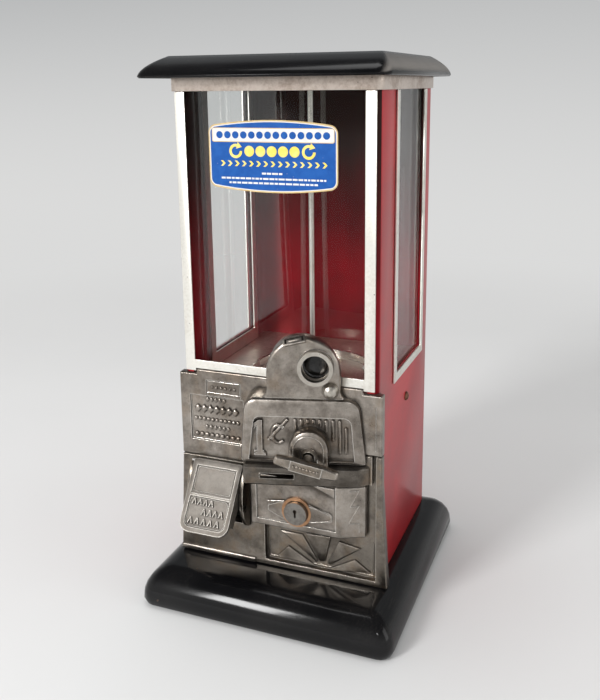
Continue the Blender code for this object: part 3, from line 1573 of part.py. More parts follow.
def main():
    global parts, helpers, head_seat
    clear_scene()
    parts = new_collection('gumball_machine')
    helpers = new_collection('cutters_and_guides')
    head_seat = bpy.data.objects.new('head_seat', None)
    helpers.objects.link(head_seat)
    head_seat.location = (head_x, head_y, 0)
    head_seat.rotation_euler = (0, 0, math.radians(head_turn))
    make_base()
    make_base_bolts()
    make_case()
    make_collar()
    make_front_window()
    make_side_window('left', -1)
    make_side_window('right', 1)
    make_lid()
    make_center_rod()
    make_hopper_floor()
    make_wheel_housing()
    make_gum_wheel()
    make_floor_brackets()
    make_rod_strap()
    make_ball_deflector()
    make_gum_cup()
    make_upper_casting()
    make_lower_casting()
    make_cheeks()
    make_flap()
    make_coin_head()
    make_viewer()
    make_coin_track()
    make_visor()
    make_handle()
    make_counter_train()
    make_bearings()
    make_drawer_front()
    make_cash_tray()
    make_drawer_rails()
    make_lock()
    machine_seat = bpy.data.objects.new('machine_seat', None)
    for item in list(parts.objects) + list(helpers.objects):
        if item.parent is None:
            item.parent = machine_seat
    helpers.objects.link(machine_seat)
    machine_seat.location = (0, case_setback, 0)


main()
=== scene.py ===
import json
import math
import random

import bmesh
import bpy
from mathutils import Matrix, Vector

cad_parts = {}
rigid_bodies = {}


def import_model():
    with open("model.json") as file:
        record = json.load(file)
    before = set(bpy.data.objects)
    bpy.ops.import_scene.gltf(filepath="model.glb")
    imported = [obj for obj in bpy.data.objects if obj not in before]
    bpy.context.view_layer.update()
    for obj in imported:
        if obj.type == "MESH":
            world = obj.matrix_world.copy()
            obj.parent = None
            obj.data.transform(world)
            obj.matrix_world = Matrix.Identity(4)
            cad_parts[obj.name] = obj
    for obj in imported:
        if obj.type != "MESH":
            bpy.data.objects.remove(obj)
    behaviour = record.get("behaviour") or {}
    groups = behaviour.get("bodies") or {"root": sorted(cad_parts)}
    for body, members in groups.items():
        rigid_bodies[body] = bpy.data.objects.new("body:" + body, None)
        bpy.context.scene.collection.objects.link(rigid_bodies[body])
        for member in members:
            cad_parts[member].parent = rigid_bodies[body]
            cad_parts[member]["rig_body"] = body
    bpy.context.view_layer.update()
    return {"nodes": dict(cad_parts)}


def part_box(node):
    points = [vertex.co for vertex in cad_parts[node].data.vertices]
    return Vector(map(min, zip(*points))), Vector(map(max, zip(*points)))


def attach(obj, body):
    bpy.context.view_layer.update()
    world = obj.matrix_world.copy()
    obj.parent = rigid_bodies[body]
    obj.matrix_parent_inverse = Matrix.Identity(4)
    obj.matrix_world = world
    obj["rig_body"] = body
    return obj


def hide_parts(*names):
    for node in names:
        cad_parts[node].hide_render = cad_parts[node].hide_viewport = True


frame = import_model()
nodes = frame["nodes"]
print("frame loaded:", len(nodes), "nodes")

mm = 0.001


class Wire:   # one output socket; the operators add Math nodes
    def __init__(self, graph, socket):
        self.graph = graph
        self.socket = socket

    def maths(self, operation, first, second=0.0):
        return self.graph.add("ShaderNodeMath", {"operation": operation}, {0: first, 1: second})

    def __add__(self, other):
        return self.maths("ADD", self, other)

    def __radd__(self, other):
        return self.maths("ADD", other, self)

    def __sub__(self, other):
        return self.maths("SUBTRACT", self, other)

    def __rsub__(self, other):
        return self.maths("SUBTRACT", other, self)

    def __mul__(self, other):
        return self.maths("MULTIPLY", self, other)

    def __rmul__(self, other):
        return self.maths("MULTIPLY", other, self)

    def least(self, other):
        return self.maths("MINIMUM", self, other)

    def most(self, other):
        return self.maths("MAXIMUM", self, other)

    def step(self, low, high, outLow=0.0, outHigh=1.0):   # smooth step from low to high
        return self.graph.add("ShaderNodeMapRange", {"interpolation_type": "SMOOTHSTEP", "clamp": True},
                              {"Value": self, "From Min": low, "From Max": high,
                               "To Min": outLow, "To Max": outHigh})


class Graph:   # a tree of nodes, for a material, the world or geometry
    def __init__(self, tree):
        self.tree = tree

    def add(self, kind, settings=None, inputs=None, out=0):
        node = self.tree.nodes.new(kind)
        for key, value in (settings or {}).items():
            setattr(node, key, value)
        for key, value in (inputs or {}).items():
            socket = node.inputs[key]
            if isinstance(value, Wire):
                self.tree.links.new(value.socket, socket)
            else:
                socket.default_value = value
        return Wire(self, node.outputs[out])

    def other(self, wire, name):   # another output of the same node
        return Wire(self, wire.socket.node.outputs[name])

    def blend(self, factor, first, second):   # colours: first at 0, second at 1
        first = (*first, 1.0) if isinstance(first, tuple) else first
        second = (*second, 1.0) if isinstance(second, tuple) else second
        return self.add("ShaderNodeMix", {"data_type": "RGBA"}, {0: factor, 6: first, 7: second}, out=2)


class Paint(Graph):   # a material built from noise, marks and edge masks
    def __init__(self, name):
        self.material = bpy.data.materials.new(name)
        self.material.use_nodes = True
        super().__init__(self.material.node_tree)
        self.shader = self.tree.nodes["Principled BSDF"]
        self.output = self.tree.nodes["Material Output"]
        self.coords = self.add("ShaderNodeTexCoord", out=3)

    def stretch(self, scale, turn=(0, 0, 0)):
        return self.add("ShaderNodeMapping", {}, {"Vector": self.coords, "Scale": scale, "Rotation": turn})

    def noise(self, scale, detail, rough, where=None):
        return self.add("ShaderNodeTexNoise", {}, {"Vector": where or self.coords, "Scale": scale,
                                                   "Detail": detail, "Roughness": rough})

    def specks(self, scale, size, share, fade=0.02):   # scattered small marks, on a share of the cells
        near = self.add("ShaderNodeTexVoronoi", {"feature": "F1"}, {"Vector": self.coords, "Scale": scale})
        pick = self.add("ShaderNodeSeparateColor", {}, {0: self.other(near, "Color")})
        return near.step(size / 2, size, 1.0, 0.0) * pick.step(share, share + fade, 1.0, 0.0)

    def scratches(self, scale, thin, turn, long=40.0):   # fine lines along one direction
        lane = self.noise(1.0, 3.0, 0.6, self.stretch((scale, scale / long, scale), turn))
        return lane.step(0.5 - thin, 0.5, 0.0, 1.0) * lane.step(0.5, 0.5 + thin, 1.0, 0.0)

    def edges(self, radius, turnLow=0.004, turnHigh=0.16):   # 1 where the surface turns sharply
        rounded = self.add("ShaderNodeBevel", {"samples": 6}, {"Radius": radius})
        true = self.add("ShaderNodeNewGeometry", out=1)
        same = self.add("ShaderNodeVectorMath", {"operation": "DOT_PRODUCT"}, {0: rounded, 1: true}, out=1)
        return (1 - same).step(turnLow, turnHigh)

    def hollows(self, distance):   # 1 deep in corners and recesses
        return 1 - self.add("ShaderNodeAmbientOcclusion", {"samples": 8}, {"Distance": distance}, out=1)

    def height(self):   # metres above the counter
        return self.other(self.add("ShaderNodeSeparateXYZ", {}, {0: self.coords}), "Z")

    def facing(self, axis):   # how far the surface faces along an axis, -1 to 1
        normal = self.add("ShaderNodeNewGeometry", out=1)
        return self.other(self.add("ShaderNodeSeparateXYZ", {}, {0: normal}), axis)

    def relief(self, height, strength, distance):
        return self.add("ShaderNodeBump", {}, {"Strength": strength, "Distance": distance, "Height": height})

    def set(self, **values):
        for key, value in values.items():
            socket = self.shader.inputs[key.replace("_", " ")]
            if isinstance(value, Wire):
                self.tree.links.new(value.socket, socket)
            elif isinstance(value, tuple) and socket.type == "RGBA":
                socket.default_value = (*value, 1.0)
            else:
                socket.default_value = value


# in every look a noise is (scale, detail, roughness), and a pair of limits runs from none to full
# the darkest colour stands for grime and painted shade in creases; the brightest for rubbed edges with a
# painted highlight
castGrey = {"dark": (0.165, 0.143, 0.122), "mid": (0.385, 0.347, 0.308), "bright": (0.86, 0.825, 0.77),
            "warm": (0.29, 0.215, 0.150), "grimeShade": (0.022, 0.018, 0.014),
            "cloud": (26.0, 6.0, 0.62), "mottle": (140.0, 5.0, 0.65), "grain": (1500.0, 3.0, 0.6),
            "cloudPart": 0.6, "toneLimits": (0.36, 0.64),
            "stains": (60.0, 3.0, 0.6), "stainLimits": (0.48, 0.72), "warmShare": 0.35,
            "pits": (900.0, 0.32, 0.30), "pitShade": 0.35,   # pits: scale, size, share
            "rubs": (700.0, 0.012, (0.2, 0.5, 0.3)), "rubLimits": (0.42, 0.60), "rubShare": 0.25,
            "edgeReach": 0.0013, "edgeShare": 0.95, "edgeBlocked": (0.30, 0.70),
            "creaseReach": 0.0027, "creaseLimits": (0.08, 0.58),
            "grimeShadeLeast": 0.50, "grimeShadeMottle": 0.6, "grimeShadeShare": 0.94, "grimeDull": 0.55,
            "rough": 0.27, "toneRough": 0.08, "grimeRough": 0.24, "edgeSmooth": 0.12,
            "bump": 0.36, "bumpReach": 0.00025, "mottleBump": 0.6, "grainBump": 0.30, "pitDepth": 0.5}
castLow = dict(castGrey, dark=(0.105, 0.090, 0.075), mid=(0.245, 0.218, 0.187), bright=(0.66, 0.61, 0.54),
               warm=(0.26, 0.18, 0.11), warmShare=0.45)
castBright = dict(castGrey, dark=(0.15, 0.134, 0.117), mid=(0.30, 0.276, 0.248), bright=(0.62, 0.59, 0.54),
                  rough=0.60, grimeShadeShare=0.9, warmShare=0.15)
castVisor = dict(castGrey, dark=(0.07, 0.060, 0.050), mid=(0.165, 0.147, 0.128), bright=(0.55, 0.52, 0.47))
castHandle = dict(castGrey, dark=(0.18, 0.155, 0.128), mid=(0.40, 0.355, 0.305), rough=0.28, edgeShare=0.9)
castShadow = dict(castGrey, dark=(0.012, 0.010, 0.008), mid=(0.02, 0.017, 0.014), bright=(0.05, 0.045, 0.04),
                  warm=(0.02, 0.015, 0.01), rough=0.6)


def makeCastMetal(name, look):   # aged casting, mottled; grime and painted shade darken its corners, and rubbing and a painted highlight lighten its edges
    p = Paint(name)
    crease = p.hollows(look["creaseReach"])
    edge = p.edges(look["edgeReach"]) * (1 - crease.step(*look["edgeBlocked"]))
    cloud = p.noise(*look["cloud"])
    mottle = p.noise(*look["mottle"])
    grain = p.noise(*look["grain"])
    pits = p.specks(*look["pits"])
    rubs = p.scratches(*look["rubs"]) * cloud.step(*look["rubLimits"])
    tone = (cloud * look["cloudPart"] + mottle * (1 - look["cloudPart"])).step(*look["toneLimits"])
    colour = p.blend(tone, look["dark"], look["mid"])
    stain = p.noise(*look["stains"]).step(*look["stainLimits"]) * look["warmShare"]
    colour = p.blend(stain, colour, look["warm"])
    # edges and scratches lighter: rubbed wear, and on the edges also a painted highlight
    rubAndHighlight = (edge * look["edgeShare"] + rubs * look["rubShare"]).least(1.0)
    colour = p.blend(rubAndHighlight, colour, look["bright"])
    # creases darker: grime and painted shade
    thickness = look["grimeShadeLeast"] + look["grimeShadeMottle"] * mottle
    grimeShade = (crease.step(*look["creaseLimits"]) * thickness * look["grimeShadeShare"]).least(1.0)
    colour = p.blend(grimeShade, colour, look["grimeShade"])
    colour = p.blend(pits * look["pitShade"], colour, look["grimeShade"])
    rough = look["rough"] + tone * look["toneRough"] + grimeShade * look["grimeRough"] - edge * look["edgeSmooth"]
    bumps = mottle * look["mottleBump"] + grain * look["grainBump"] - pits * look["pitDepth"]
    p.set(Base_Color=colour, Roughness=rough, Metallic=1.0 - grimeShade * look["grimeDull"],
          Normal=p.relief(bumps, look["bump"], look["bumpReach"]))
    return p.material


enamelLook = {"cloud": (16.0, 5.0, 0.6), "fine": (240.0, 4.0, 0.6), "ripple": (95.0, 2.0, 0.5),
              "grit": (700.0, 3.0, 0.7), "toneLimits": (0.3, 0.7),
              "rubs": (520.0, 0.010, (0.3, 0.2, 0.7)), "rubLimits": (0.40, 0.62),
              "edgeReach": 0.0010, "chipLeast": 0.25, "chipFade": 0.10, "chipLimits": (0.44, 0.58),
              "spots": (85.0, 0.10, 0.05), "spotLimits": (0.42, 0.52),
              "shadeLimits": (0.35, 0.95),
              "dustAndSheenSide": (0.25, 0.80), "dustAndSheenUp": (0.25, 0.60), "dustAndSheenLeast": 0.55, "dustAndSheenCloud": 0.9,
              "gritRough": 0.05, "rubRough": 0.10, "bareRough": 0.30, "dustRough": 0.3, "bareMetal": 0.5,
              "rippleBump": 0.7, "fineBump": 0.12, "chipDepth": 0.5, "bumpReach": 0.0004}
blackGloss = dict(enamelLook, dark=(0.0025, 0.0025, 0.003), mid=(0.0060, 0.0058, 0.0062),
                  rub=(0.030, 0.026, 0.022),
                  bare=(0.115, 0.078, 0.055), paintedShade=(0.003, 0.003, 0.003), shadeReach=0.01, shadeShare=0.5,
                  rough=0.08, roughSpread=0.07, coat=0.04, coatRough=0.05, gloss=0.26, chipFrom=0.60,
                  rubShare=0.6, bump=0.10, dustAndSheen=(0.20, 0.185, 0.17), dustAndSheenShare=0.0)
lidGloss = dict(blackGloss, dustAndSheenShare=1.0, bare=(0.17, 0.10, 0.07), chipFrom=0.50, gloss=0.12, coat=0.05,
                rough=0.12)
redGloss = dict(enamelLook, dark=(0.30, 0.009, 0.014), mid=(0.46, 0.017, 0.023), rub=(0.42, 0.06, 0.06),
                bare=(0.05, 0.03, 0.028), paintedShade=(0.030, 0.006, 0.006), shadeReach=0.11, shadeShare=0.80,
                rough=0.30, roughSpread=0.12, coat=0.20, coatRough=0.16, gloss=0.35, chipFrom=0.52,
                rubShare=0.35, bump=0.12, dustAndSheen=(0.5, 0.3, 0.3), dustAndSheenShare=0.0)


def makeEnamel(name, look):   # gloss enamel with rubs, small chips, painted shade in its corners, and dust with a painted sheen on slopes that face right and up
    p = Paint(name)
    edge = p.edges(look["edgeReach"])
    cloud = p.noise(*look["cloud"])
    fine = p.noise(*look["fine"])
    ripple = p.noise(*look["ripple"])
    grit = p.noise(*look["grit"])
    rubs = p.scratches(*look["rubs"]) * cloud.step(*look["rubLimits"])
    worn = (edge * (look["chipLeast"] + fine)).step(look["chipFrom"], look["chipFrom"] + look["chipFade"])
    chips = worn * cloud.step(*look["chipLimits"])
    bare = chips.most(p.specks(*look["spots"]) * fine.step(*look["spotLimits"]))
    colour = p.blend(cloud.step(*look["toneLimits"]), look["dark"], look["mid"])
    # painted shade, deep in corners and recesses
    paintedShade = p.hollows(look["shadeReach"]).step(*look["shadeLimits"]) * look["shadeShare"]
    colour = p.blend(paintedShade, colour, look["paintedShade"])
    colour = p.blend(rubs * look["rubShare"], colour, look["rub"])
    # dust and a painted sheen: lighter on slopes that face right and up
    dustAndSheen = p.facing("X").step(*look["dustAndSheenSide"]) * p.facing("Z").step(*look["dustAndSheenUp"]) * look["dustAndSheenShare"]
    colour = p.blend(dustAndSheen * (look["dustAndSheenLeast"] + cloud * look["dustAndSheenCloud"]), colour, look["dustAndSheen"])
    colour = p.blend(bare, colour, look["bare"])
    rough = look["rough"] + cloud * look["roughSpread"] + grit * look["gritRough"] + rubs * look["rubRough"]
    rough = rough + bare * look["bareRough"] + dustAndSheen * look["dustRough"]
    bumps = ripple * look["rippleBump"] + fine * look["fineBump"] - bare * look["chipDepth"]
    p.set(Base_Color=colour, Roughness=rough, Metallic=bare * look["bareMetal"],
          Coat_Weight=look["coat"] * (1 - bare), Coat_Roughness=look["coatRough"],
          Specular_IOR_Level=look["gloss"], Normal=p.relief(bumps, look["bump"], look["bumpReach"]))
    return p.material


# the inner red is darker than the outer red: painted shade inside the case
shadedInnerLook = {"dark": (0.11, 0.003, 0.006), "mid": (0.27, 0.006, 0.012), "paintedShade": (0.014, 0.006, 0.004),
             "bare": (0.03, 0.02, 0.018), "shadeHeights": (0.21, 0.35), "shadeShare": 0.96,
             "cloud": (14.0, 5.0, 0.6), "streak": (1.0, 4.0, 0.6), "streakScale": (70.0, 70.0, 6.0),
             "fine": (260.0, 4.0, 0.6), "cloudDrift": 0.05, "streakDrift": 0.06, "toneLimits": (0.3, 0.7),
             "spots": (120.0, 0.10, 0.06), "rough": 0.36, "fineRough": 0.12, "gloss": 0.10,
             "streakBump": 0.5, "fineBump": 0.2, "bump": 0.12, "bumpReach": 0.0004}


def makeShadedInnerEnamel(name, look):   # the inside of the case: a darker, shaded copy of the red enamel, with painted shade that deepens toward the lid
    p = Paint(name)
    cloud = p.noise(*look["cloud"])
    streak = p.noise(*look["streak"], p.stretch(look["streakScale"]))
    fine = p.noise(*look["fine"])
    drift = (cloud - 0.5) * look["cloudDrift"] + (streak - 0.5) * look["streakDrift"]
    shade = (p.height() + drift).step(*look["shadeHeights"])
    colour = p.blend(cloud.step(*look["toneLimits"]), look["dark"], look["mid"])
    colour = p.blend(shade * look["shadeShare"], colour, look["paintedShade"])
    colour = p.blend(p.specks(*look["spots"]), colour, look["bare"])
    bumps = streak * look["streakBump"] + fine * look["fineBump"]
    p.set(Base_Color=colour, Roughness=look["rough"] + fine * look["fineRough"], Coat_Weight=0.0,
          Specular_IOR_Level=look["gloss"], Normal=p.relief(bumps, look["bump"], look["bumpReach"]))
    return p.material


platedLook = {"cloud": (34.0, 5.0, 0.6), "fine": (420.0, 4.0, 0.65), "brushNoise": (1.0, 4.0, 0.6),
              "spots": (330.0, 0.16), "spotLimits": (0.40, 0.60), "edgeReach": 0.0009, "creaseReach": 0.003,
              "creaseLimits": (0.35, 0.85), "cloudPart": 0.6, "stainLimits": (0.42, 0.66),
              "brushRough": 0.12, "stainRough": 0.12, "spotRough": 0.3, "edgeSmooth": 0.05, "spotDull": 0.7,
              "brushBump": 0.6, "fineBump": 0.2, "spotDepth": 0.6, "bumpReach": 0.00012}
nickelLook = dict(platedLook, bright=(0.88, 0.86, 0.80), stain=(0.55, 0.50, 0.42), spot=(0.10, 0.085, 0.07),
                  stainShare=0.45, rough=0.26, brush=(500.0, 500.0, 30.0), spotShare=0.20, bump=0.20,
                  grimeShadeShare=0.5)
collarLook = dict(platedLook, bright=(0.66, 0.575, 0.51), stain=(0.38, 0.29, 0.235), spot=(0.08, 0.06, 0.05),
                  stainShare=0.75, rough=0.30, brush=(40.0, 40.0, 600.0), spotShare=0.30, bump=0.25,
                  grimeShadeShare=0.7)
floorLook = dict(platedLook, bright=(0.82, 0.73, 0.65), stain=(0.50, 0.41, 0.33), spot=(0.12, 0.09, 0.07),
                 stainShare=0.8, rough=0.32, brush=(260.0, 40.0, 260.0), spotShare=0.25, bump=0.25,
                 grimeShadeShare=0.7)
steelLook = dict(platedLook, bright=(0.42, 0.41, 0.39), stain=(0.24, 0.22, 0.20), spot=(0.12, 0.07, 0.04),
                 stainShare=0.7, rough=0.34, brush=(300.0, 60.0, 300.0), spotShare=0.25, bump=0.25,
                 grimeShadeShare=0.6)
lockSteelLook = dict(steelLook, bright=(0.25, 0.235, 0.215), stain=(0.13, 0.115, 0.10))
polishedLook = dict(platedLook, bright=(0.74, 0.71, 0.66), stain=(0.46, 0.42, 0.37), spot=(0.14, 0.11, 0.08),
                    stainShare=0.5, rough=0.17, brush=(200.0, 200.0, 200.0), spotShare=0.14, bump=0.12,
                    grimeShadeShare=0.6)
bezelLook = dict(polishedLook, bright=(0.52, 0.49, 0.44), stain=(0.30, 0.26, 0.22), rough=0.22)
copperLook = dict(platedLook, bright=(0.50, 0.29, 0.165), stain=(0.27, 0.14, 0.075), spot=(0.08, 0.05, 0.03),
                  stainShare=0.7, rough=0.24, brush=(300.0, 300.0, 300.0), spotShare=0.2, bump=0.2,
                  grimeShadeShare=0.7)
rustyLook = dict(copperLook, bright=(0.27, 0.13, 0.085), stain=(0.15, 0.07, 0.05), rough=0.4)
brassLook = dict(copperLook, bright=(0.62, 0.45, 0.22), stain=(0.36, 0.24, 0.12))


def makePlated(name, look):   # plain or plated metal, brushed, stained and spotted, and darkened in its creases by grime and painted shade
    p = Paint(name)
    cloud = p.noise(*look["cloud"])
    fine = p.noise(*look["fine"])
    brush = p.noise(*look["brushNoise"], p.stretch(look["brush"]))
    spots = p.specks(*look["spots"], look["spotShare"]) * cloud.step(*look["spotLimits"])
    edge = p.edges(look["edgeReach"])
    crease = p.hollows(look["creaseReach"]).step(*look["creaseLimits"])
    stain = (cloud * look["cloudPart"] + fine * (1 - look["cloudPart"])).step(*look["stainLimits"])
    colour = p.blend(stain * look["stainShare"], look["bright"], look["stain"])
    # creases darker: grime and painted shade
    colour = p.blend((spots + crease * look["grimeShadeShare"]).least(1.0), colour, look["spot"])
    rough = look["rough"] + brush * look["brushRough"] + stain * look["stainRough"]
    rough = rough + spots * look["spotRough"] - edge * look["edgeSmooth"]
    bumps = brush * look["brushBump"] + fine * look["fineBump"] - spots * look["spotDepth"]
    p.set(Base_Color=colour, Roughness=rough, Metallic=1.0 - spots * look["spotDull"],
          Normal=p.relief(bumps, look["bump"], look["bumpReach"]))
    return p.material


paneLook = {"tint": (0.985, 0.992, 0.99), "thin": 0.90, "thinAslant": 0.2, "aslantLimits": (0.62, 0.82),
            "film": (22.0, 4.0, 0.6), "filmLimits": (0.45, 0.75), "rough": 0.012, "filmRough": 0.02,
            "bend": 1.45}
# the viewer glass is tinted near black: painted shade for the dark inside seen through it
viewerLook = dict(paneLook, tint=(0.05, 0.05, 0.05), thin=0.0)


def makeGlass(name, look):   # clear when seen straight on, glossy when seen aslant, and no block to light
    p = Paint(name)
    film = p.noise(*look["film"]).step(*look["filmLimits"])
    p.set(Base_Color=look["tint"], Roughness=look["rough"] + film * look["filmRough"],
          Transmission_Weight=1.0, IOR=look["bend"])
    clear = p.add("ShaderNodeBsdfTransparent", {}, {"Color": (*look["tint"], 1.0)})
    path = p.add("ShaderNodeLightPath", out="Is Shadow Ray")
    aslant = p.add("ShaderNodeLayerWeight", out="Facing").step(*look["aslantLimits"], look["thin"],
                                                              look["thinAslant"])
    through = path.most(p.other(path, "Is Diffuse Ray")).most(aslant)
    mixed = p.add("ShaderNodeMixShader", {}, {0: through, 1: Wire(p, p.shader.outputs[0]), 2: clear})
    p.tree.links.new(mixed.socket, p.output.inputs["Surface"])
    return p.material


printLook = {"wear": (170.0, 4.0, 0.6), "wearLimits": (0.35, 0.70), "flecks": (420.0, 0.14, 0.10),
             "fleckShade": 0.6, "fleckDepth": 0.4, "rough": 0.40, "wearRough": 0.15, "gloss": 0.2,
             "bump": 0.08, "bumpReach": 0.0001}
inkLooks = {"inkBlue": dict(printLook, ink=(0.001, 0.068, 0.30), faded=(0.006, 0.088, 0.35),
                            under=(0.35, 0.38, 0.45)),
            "inkWhite": dict(printLook, ink=(0.72, 0.72, 0.70), faded=(0.62, 0.62, 0.60),
                             under=(0.35, 0.36, 0.42)),
            "inkYellow": dict(printLook, ink=(0.80, 0.62, 0.10), faded=(0.78, 0.66, 0.24),
                              under=(0.30, 0.30, 0.30)),
            "inkGold": dict(printLook, ink=(0.52, 0.36, 0.15), faded=(0.62, 0.47, 0.25),
                            under=(0.20, 0.14, 0.08))}


def makePrint(name, look):   # ink on a transfer label, a little rubbed
    p = Paint(name)
    worn = p.noise(*look["wear"])
    flecks = p.specks(*look["flecks"])
    colour = p.blend(worn.step(*look["wearLimits"]), look["ink"], look["faded"])
    colour = p.blend(flecks * look["fleckShade"], colour, look["under"])
    p.set(Base_Color=colour, Roughness=look["rough"] + worn * look["wearRough"],
          Specular_IOR_Level=look["gloss"],
          Normal=p.relief(worn - flecks * look["fleckDepth"], look["bump"], look["bumpReach"]))
    return p.material


paints = {
    "cast": makeCastMetal("agedCasting", castGrey),
    "castLow": makeCastMetal("shadedCasting", castLow),
    "castBright": makeCastMetal("wornCasting", castBright),
    "castVisor": makeCastMetal("darkCasting", castVisor),
    "castHandle": makeCastMetal("handledCasting", castHandle),
    "black": makeEnamel("blackEnamel", blackGloss),
    "lid": makeEnamel("lidEnamel", lidGloss),
    "red": makeEnamel("redEnamel", redGloss),
    "redShadedInside": makeShadedInnerEnamel("redEnamelInside", shadedInnerLook),
    "nickel": makePlated("wornNickel", nickelLook),
    "collar": makePlated("tarnishedNickel", collarLook),
    "floor": makePlated("satinFloor", floorLook),
    "steel": makePlated("plainSteel", steelLook),
    "polished": makePlated("polishedSteel", polishedLook),
    "bezel": makePlated("dullNickel", bezelLook),
    "copper": makePlated("coppery", copperLook),
    "brass": makePlated("dullBrass", brassLook),
    "screw": makePlated("rustedScrew", rustyLook),
    "lockSteel": makePlated("lockSteel", lockSteelLook),
    "shadow": makeCastMetal("slotShadow", castShadow),
    "glass": makeGlass("paneGlass", paneLook),
    "viewer": makeGlass("viewerGlass", viewerLook),
}
for ink, look in inkLooks.items():
    paints[ink] = makePrint(ink, look)
print("finishes made:", len(paints))

nodesOf = {   # every other node is plain steel
    "black": ["base_casting"], "lid": ["roof_lid"], "red": ["body_shell"], "collar": ["collar_band"],
    "nickel": ["front_window_frame", "left_window_frame", "right_window_frame", "left_glass_channel",
               "right_glass_channel", "center_rod"],
    "cast": ["upper_casting", "coin_head", "drawer_front"],
    "castLow": ["lower_casting", "chute_cheek_left", "chute_cheek_right"],
    "castVisor": ["coin_visor"], "castBright": ["chute_flap"], "castHandle": ["handle_bar"],
    "floor": ["hopper_floor", "gum_wheel"], "bezel": ["viewer_bezel", "boss_button"],
    "viewer": ["viewer_lens"],
    "polished": ["wheel_housing", "ball_deflector", "handle_shaft", "counter_shaft"],
    "brass": ["coin_carrier", "drive_mitre", "counter_mitre", "counter_pinion", "wheel_gear",
              "shaft_bushing"],
    "copper": ["lock_ring"], "lockSteel": ["lock_plug"],
    "glass": ["front_glass", "left_glass", "right_glass"],
}
finishOf = {name: finish for finish, names in nodesOf.items() for name in names}

softened = {   # edge radius in mm, and the angle past which an edge is rounded
    "base_casting": (0.6, 40), "roof_lid": (0.5, 40), "upper_casting": (0.6, 30), "lower_casting": (0.6, 30),
    "coin_head": (0.7, 30), "coin_visor": (0.7, 30), "drawer_front": (0.6, 30), "chute_flap": (0.6, 30),
    "handle_bar": (0.5, 25), "chute_cheek_left": (0.5, 40), "chute_cheek_right": (0.5, 40),
    "body_shell": (0.25, 50), "collar_band": (0.4, 40), "front_window_frame": (0.25, 40),
    "left_window_frame": (0.25, 40), "right_window_frame": (0.25, 40), "wheel_housing": (0.2, 35),
    "gum_wheel": (0.5, 35),
}
softSettings = {"merge": 0.01 * mm, "flat": math.radians(1.0), "segments": 3, "innerDepth": 0.6 * mm,
                "upright": 0.5}   # innerDepth: how far inside the case's box a face counts as an inner one


def addPiece(name, mesh, body):
    piece = bpy.data.objects.new(name, mesh)
    bpy.context.scene.collection.objects.link(piece)
    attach(piece, body)
    return piece


def shadeInside(mesh, low, high, settings):   # faces that look into the case take the shaded inner enamel, a darker copy with painted shade
    mesh.materials.append(paints["redShadedInside"])
    for face in mesh.polygons:
        c = face.center
        depth = min(c.x - low[0], high[0] - c.x, c.y - low[1], high[1] - c.y)
        inner = depth > settings["innerDepth"] and abs(face.normal.z) < settings["upright"]
        face.material_index = 1 if inner else 0


def softCopy(name, width, angle, settings):   # a merged copy of a node with rounded edges
    source = nodes[name]
    mesh = source.data.copy()
    mesh.name = name + "_soft"
    shape = bmesh.new()
    shape.from_mesh(mesh)
    bmesh.ops.remove_doubles(shape, verts=shape.verts, dist=settings["merge"])
    bmesh.ops.dissolve_limit(shape, angle_limit=settings["flat"], verts=shape.verts, edges=shape.edges)
    shape.to_mesh(mesh)
    shape.free()
    mesh.materials.clear()
    mesh.materials.append(paints[finishOf[name]])
    if name == "body_shell":
        shadeInside(mesh, *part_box(name), settings)
    piece = addPiece(name + "_soft", mesh, source["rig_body"])
    bevel = piece.modifiers.new("Bevel", "BEVEL")
    bevel.width = width * mm
    bevel.segments = settings["segments"]
    bevel.limit_method = "ANGLE"
    bevel.angle_limit = math.radians(angle)
    bevel.harden_normals = True
    mesh.shade_smooth()
    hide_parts(name)


for name, (width, angle) in softened.items():
    softCopy(name, width, angle, softSettings)
for name, node in nodes.items():
    node.data.materials.clear()
    node.data.materials.append(paints[finishOf.get(name, "steel")])
print("castings softened and nodes dressed")


class Plane:   # a flat face that ornament stands on; sizes along it are in mm
    def __init__(self, origin, across, up):
        self.origin = Vector(origin)
        self.across = Vector(across).normalized()
        self.up = Vector(up).normalized()
        self.out = self.across.cross(self.up)

    def at(self, u, v, n=0.0):
        return self.origin + (self.across * u + self.up * v + self.out * n) * mm

    def lifted(self, n):
        return Plane(self.at(0, 0, n), self.across, self.up)

    def facing(self):   # turns the usual axes into the plane's
        return Matrix((self.across, self.up, self.out)).transposed()


def middleOf(name):
    low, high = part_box(name)
    return (Vector(low) + Vector(high)) / 2


places = {"headTurn": 15.0, "headAxis": (0.0297, -0.0738), "recessDepth": 4.0,   # axis in m, depths in mm
          "flapTilt": 35.2, "flapSheet": 2.2, "handleTilt": 14.7, "handleFront": (0, 130.2, 20.3),
          "plaqueDepth": 1.0, "tabDepth": 0.67, "panelDepth": 4.2, "drawerDepth": 1.2, "chamferFrom": 0.0500}
headTurn, flapTilt, handleTilt = (math.radians(places[key]) for key in ("headTurn", "flapTilt", "handleTilt"))
rightward, upward, backward = Vector((1, 0, 0)), Vector((0, 0, 1)), Vector((0, 1, 0))
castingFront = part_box("upper_casting")[0][1]
drawerFront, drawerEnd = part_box("drawer_front")[0][1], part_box("drawer_front")[1][0]
caseLow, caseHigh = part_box("body_shell")

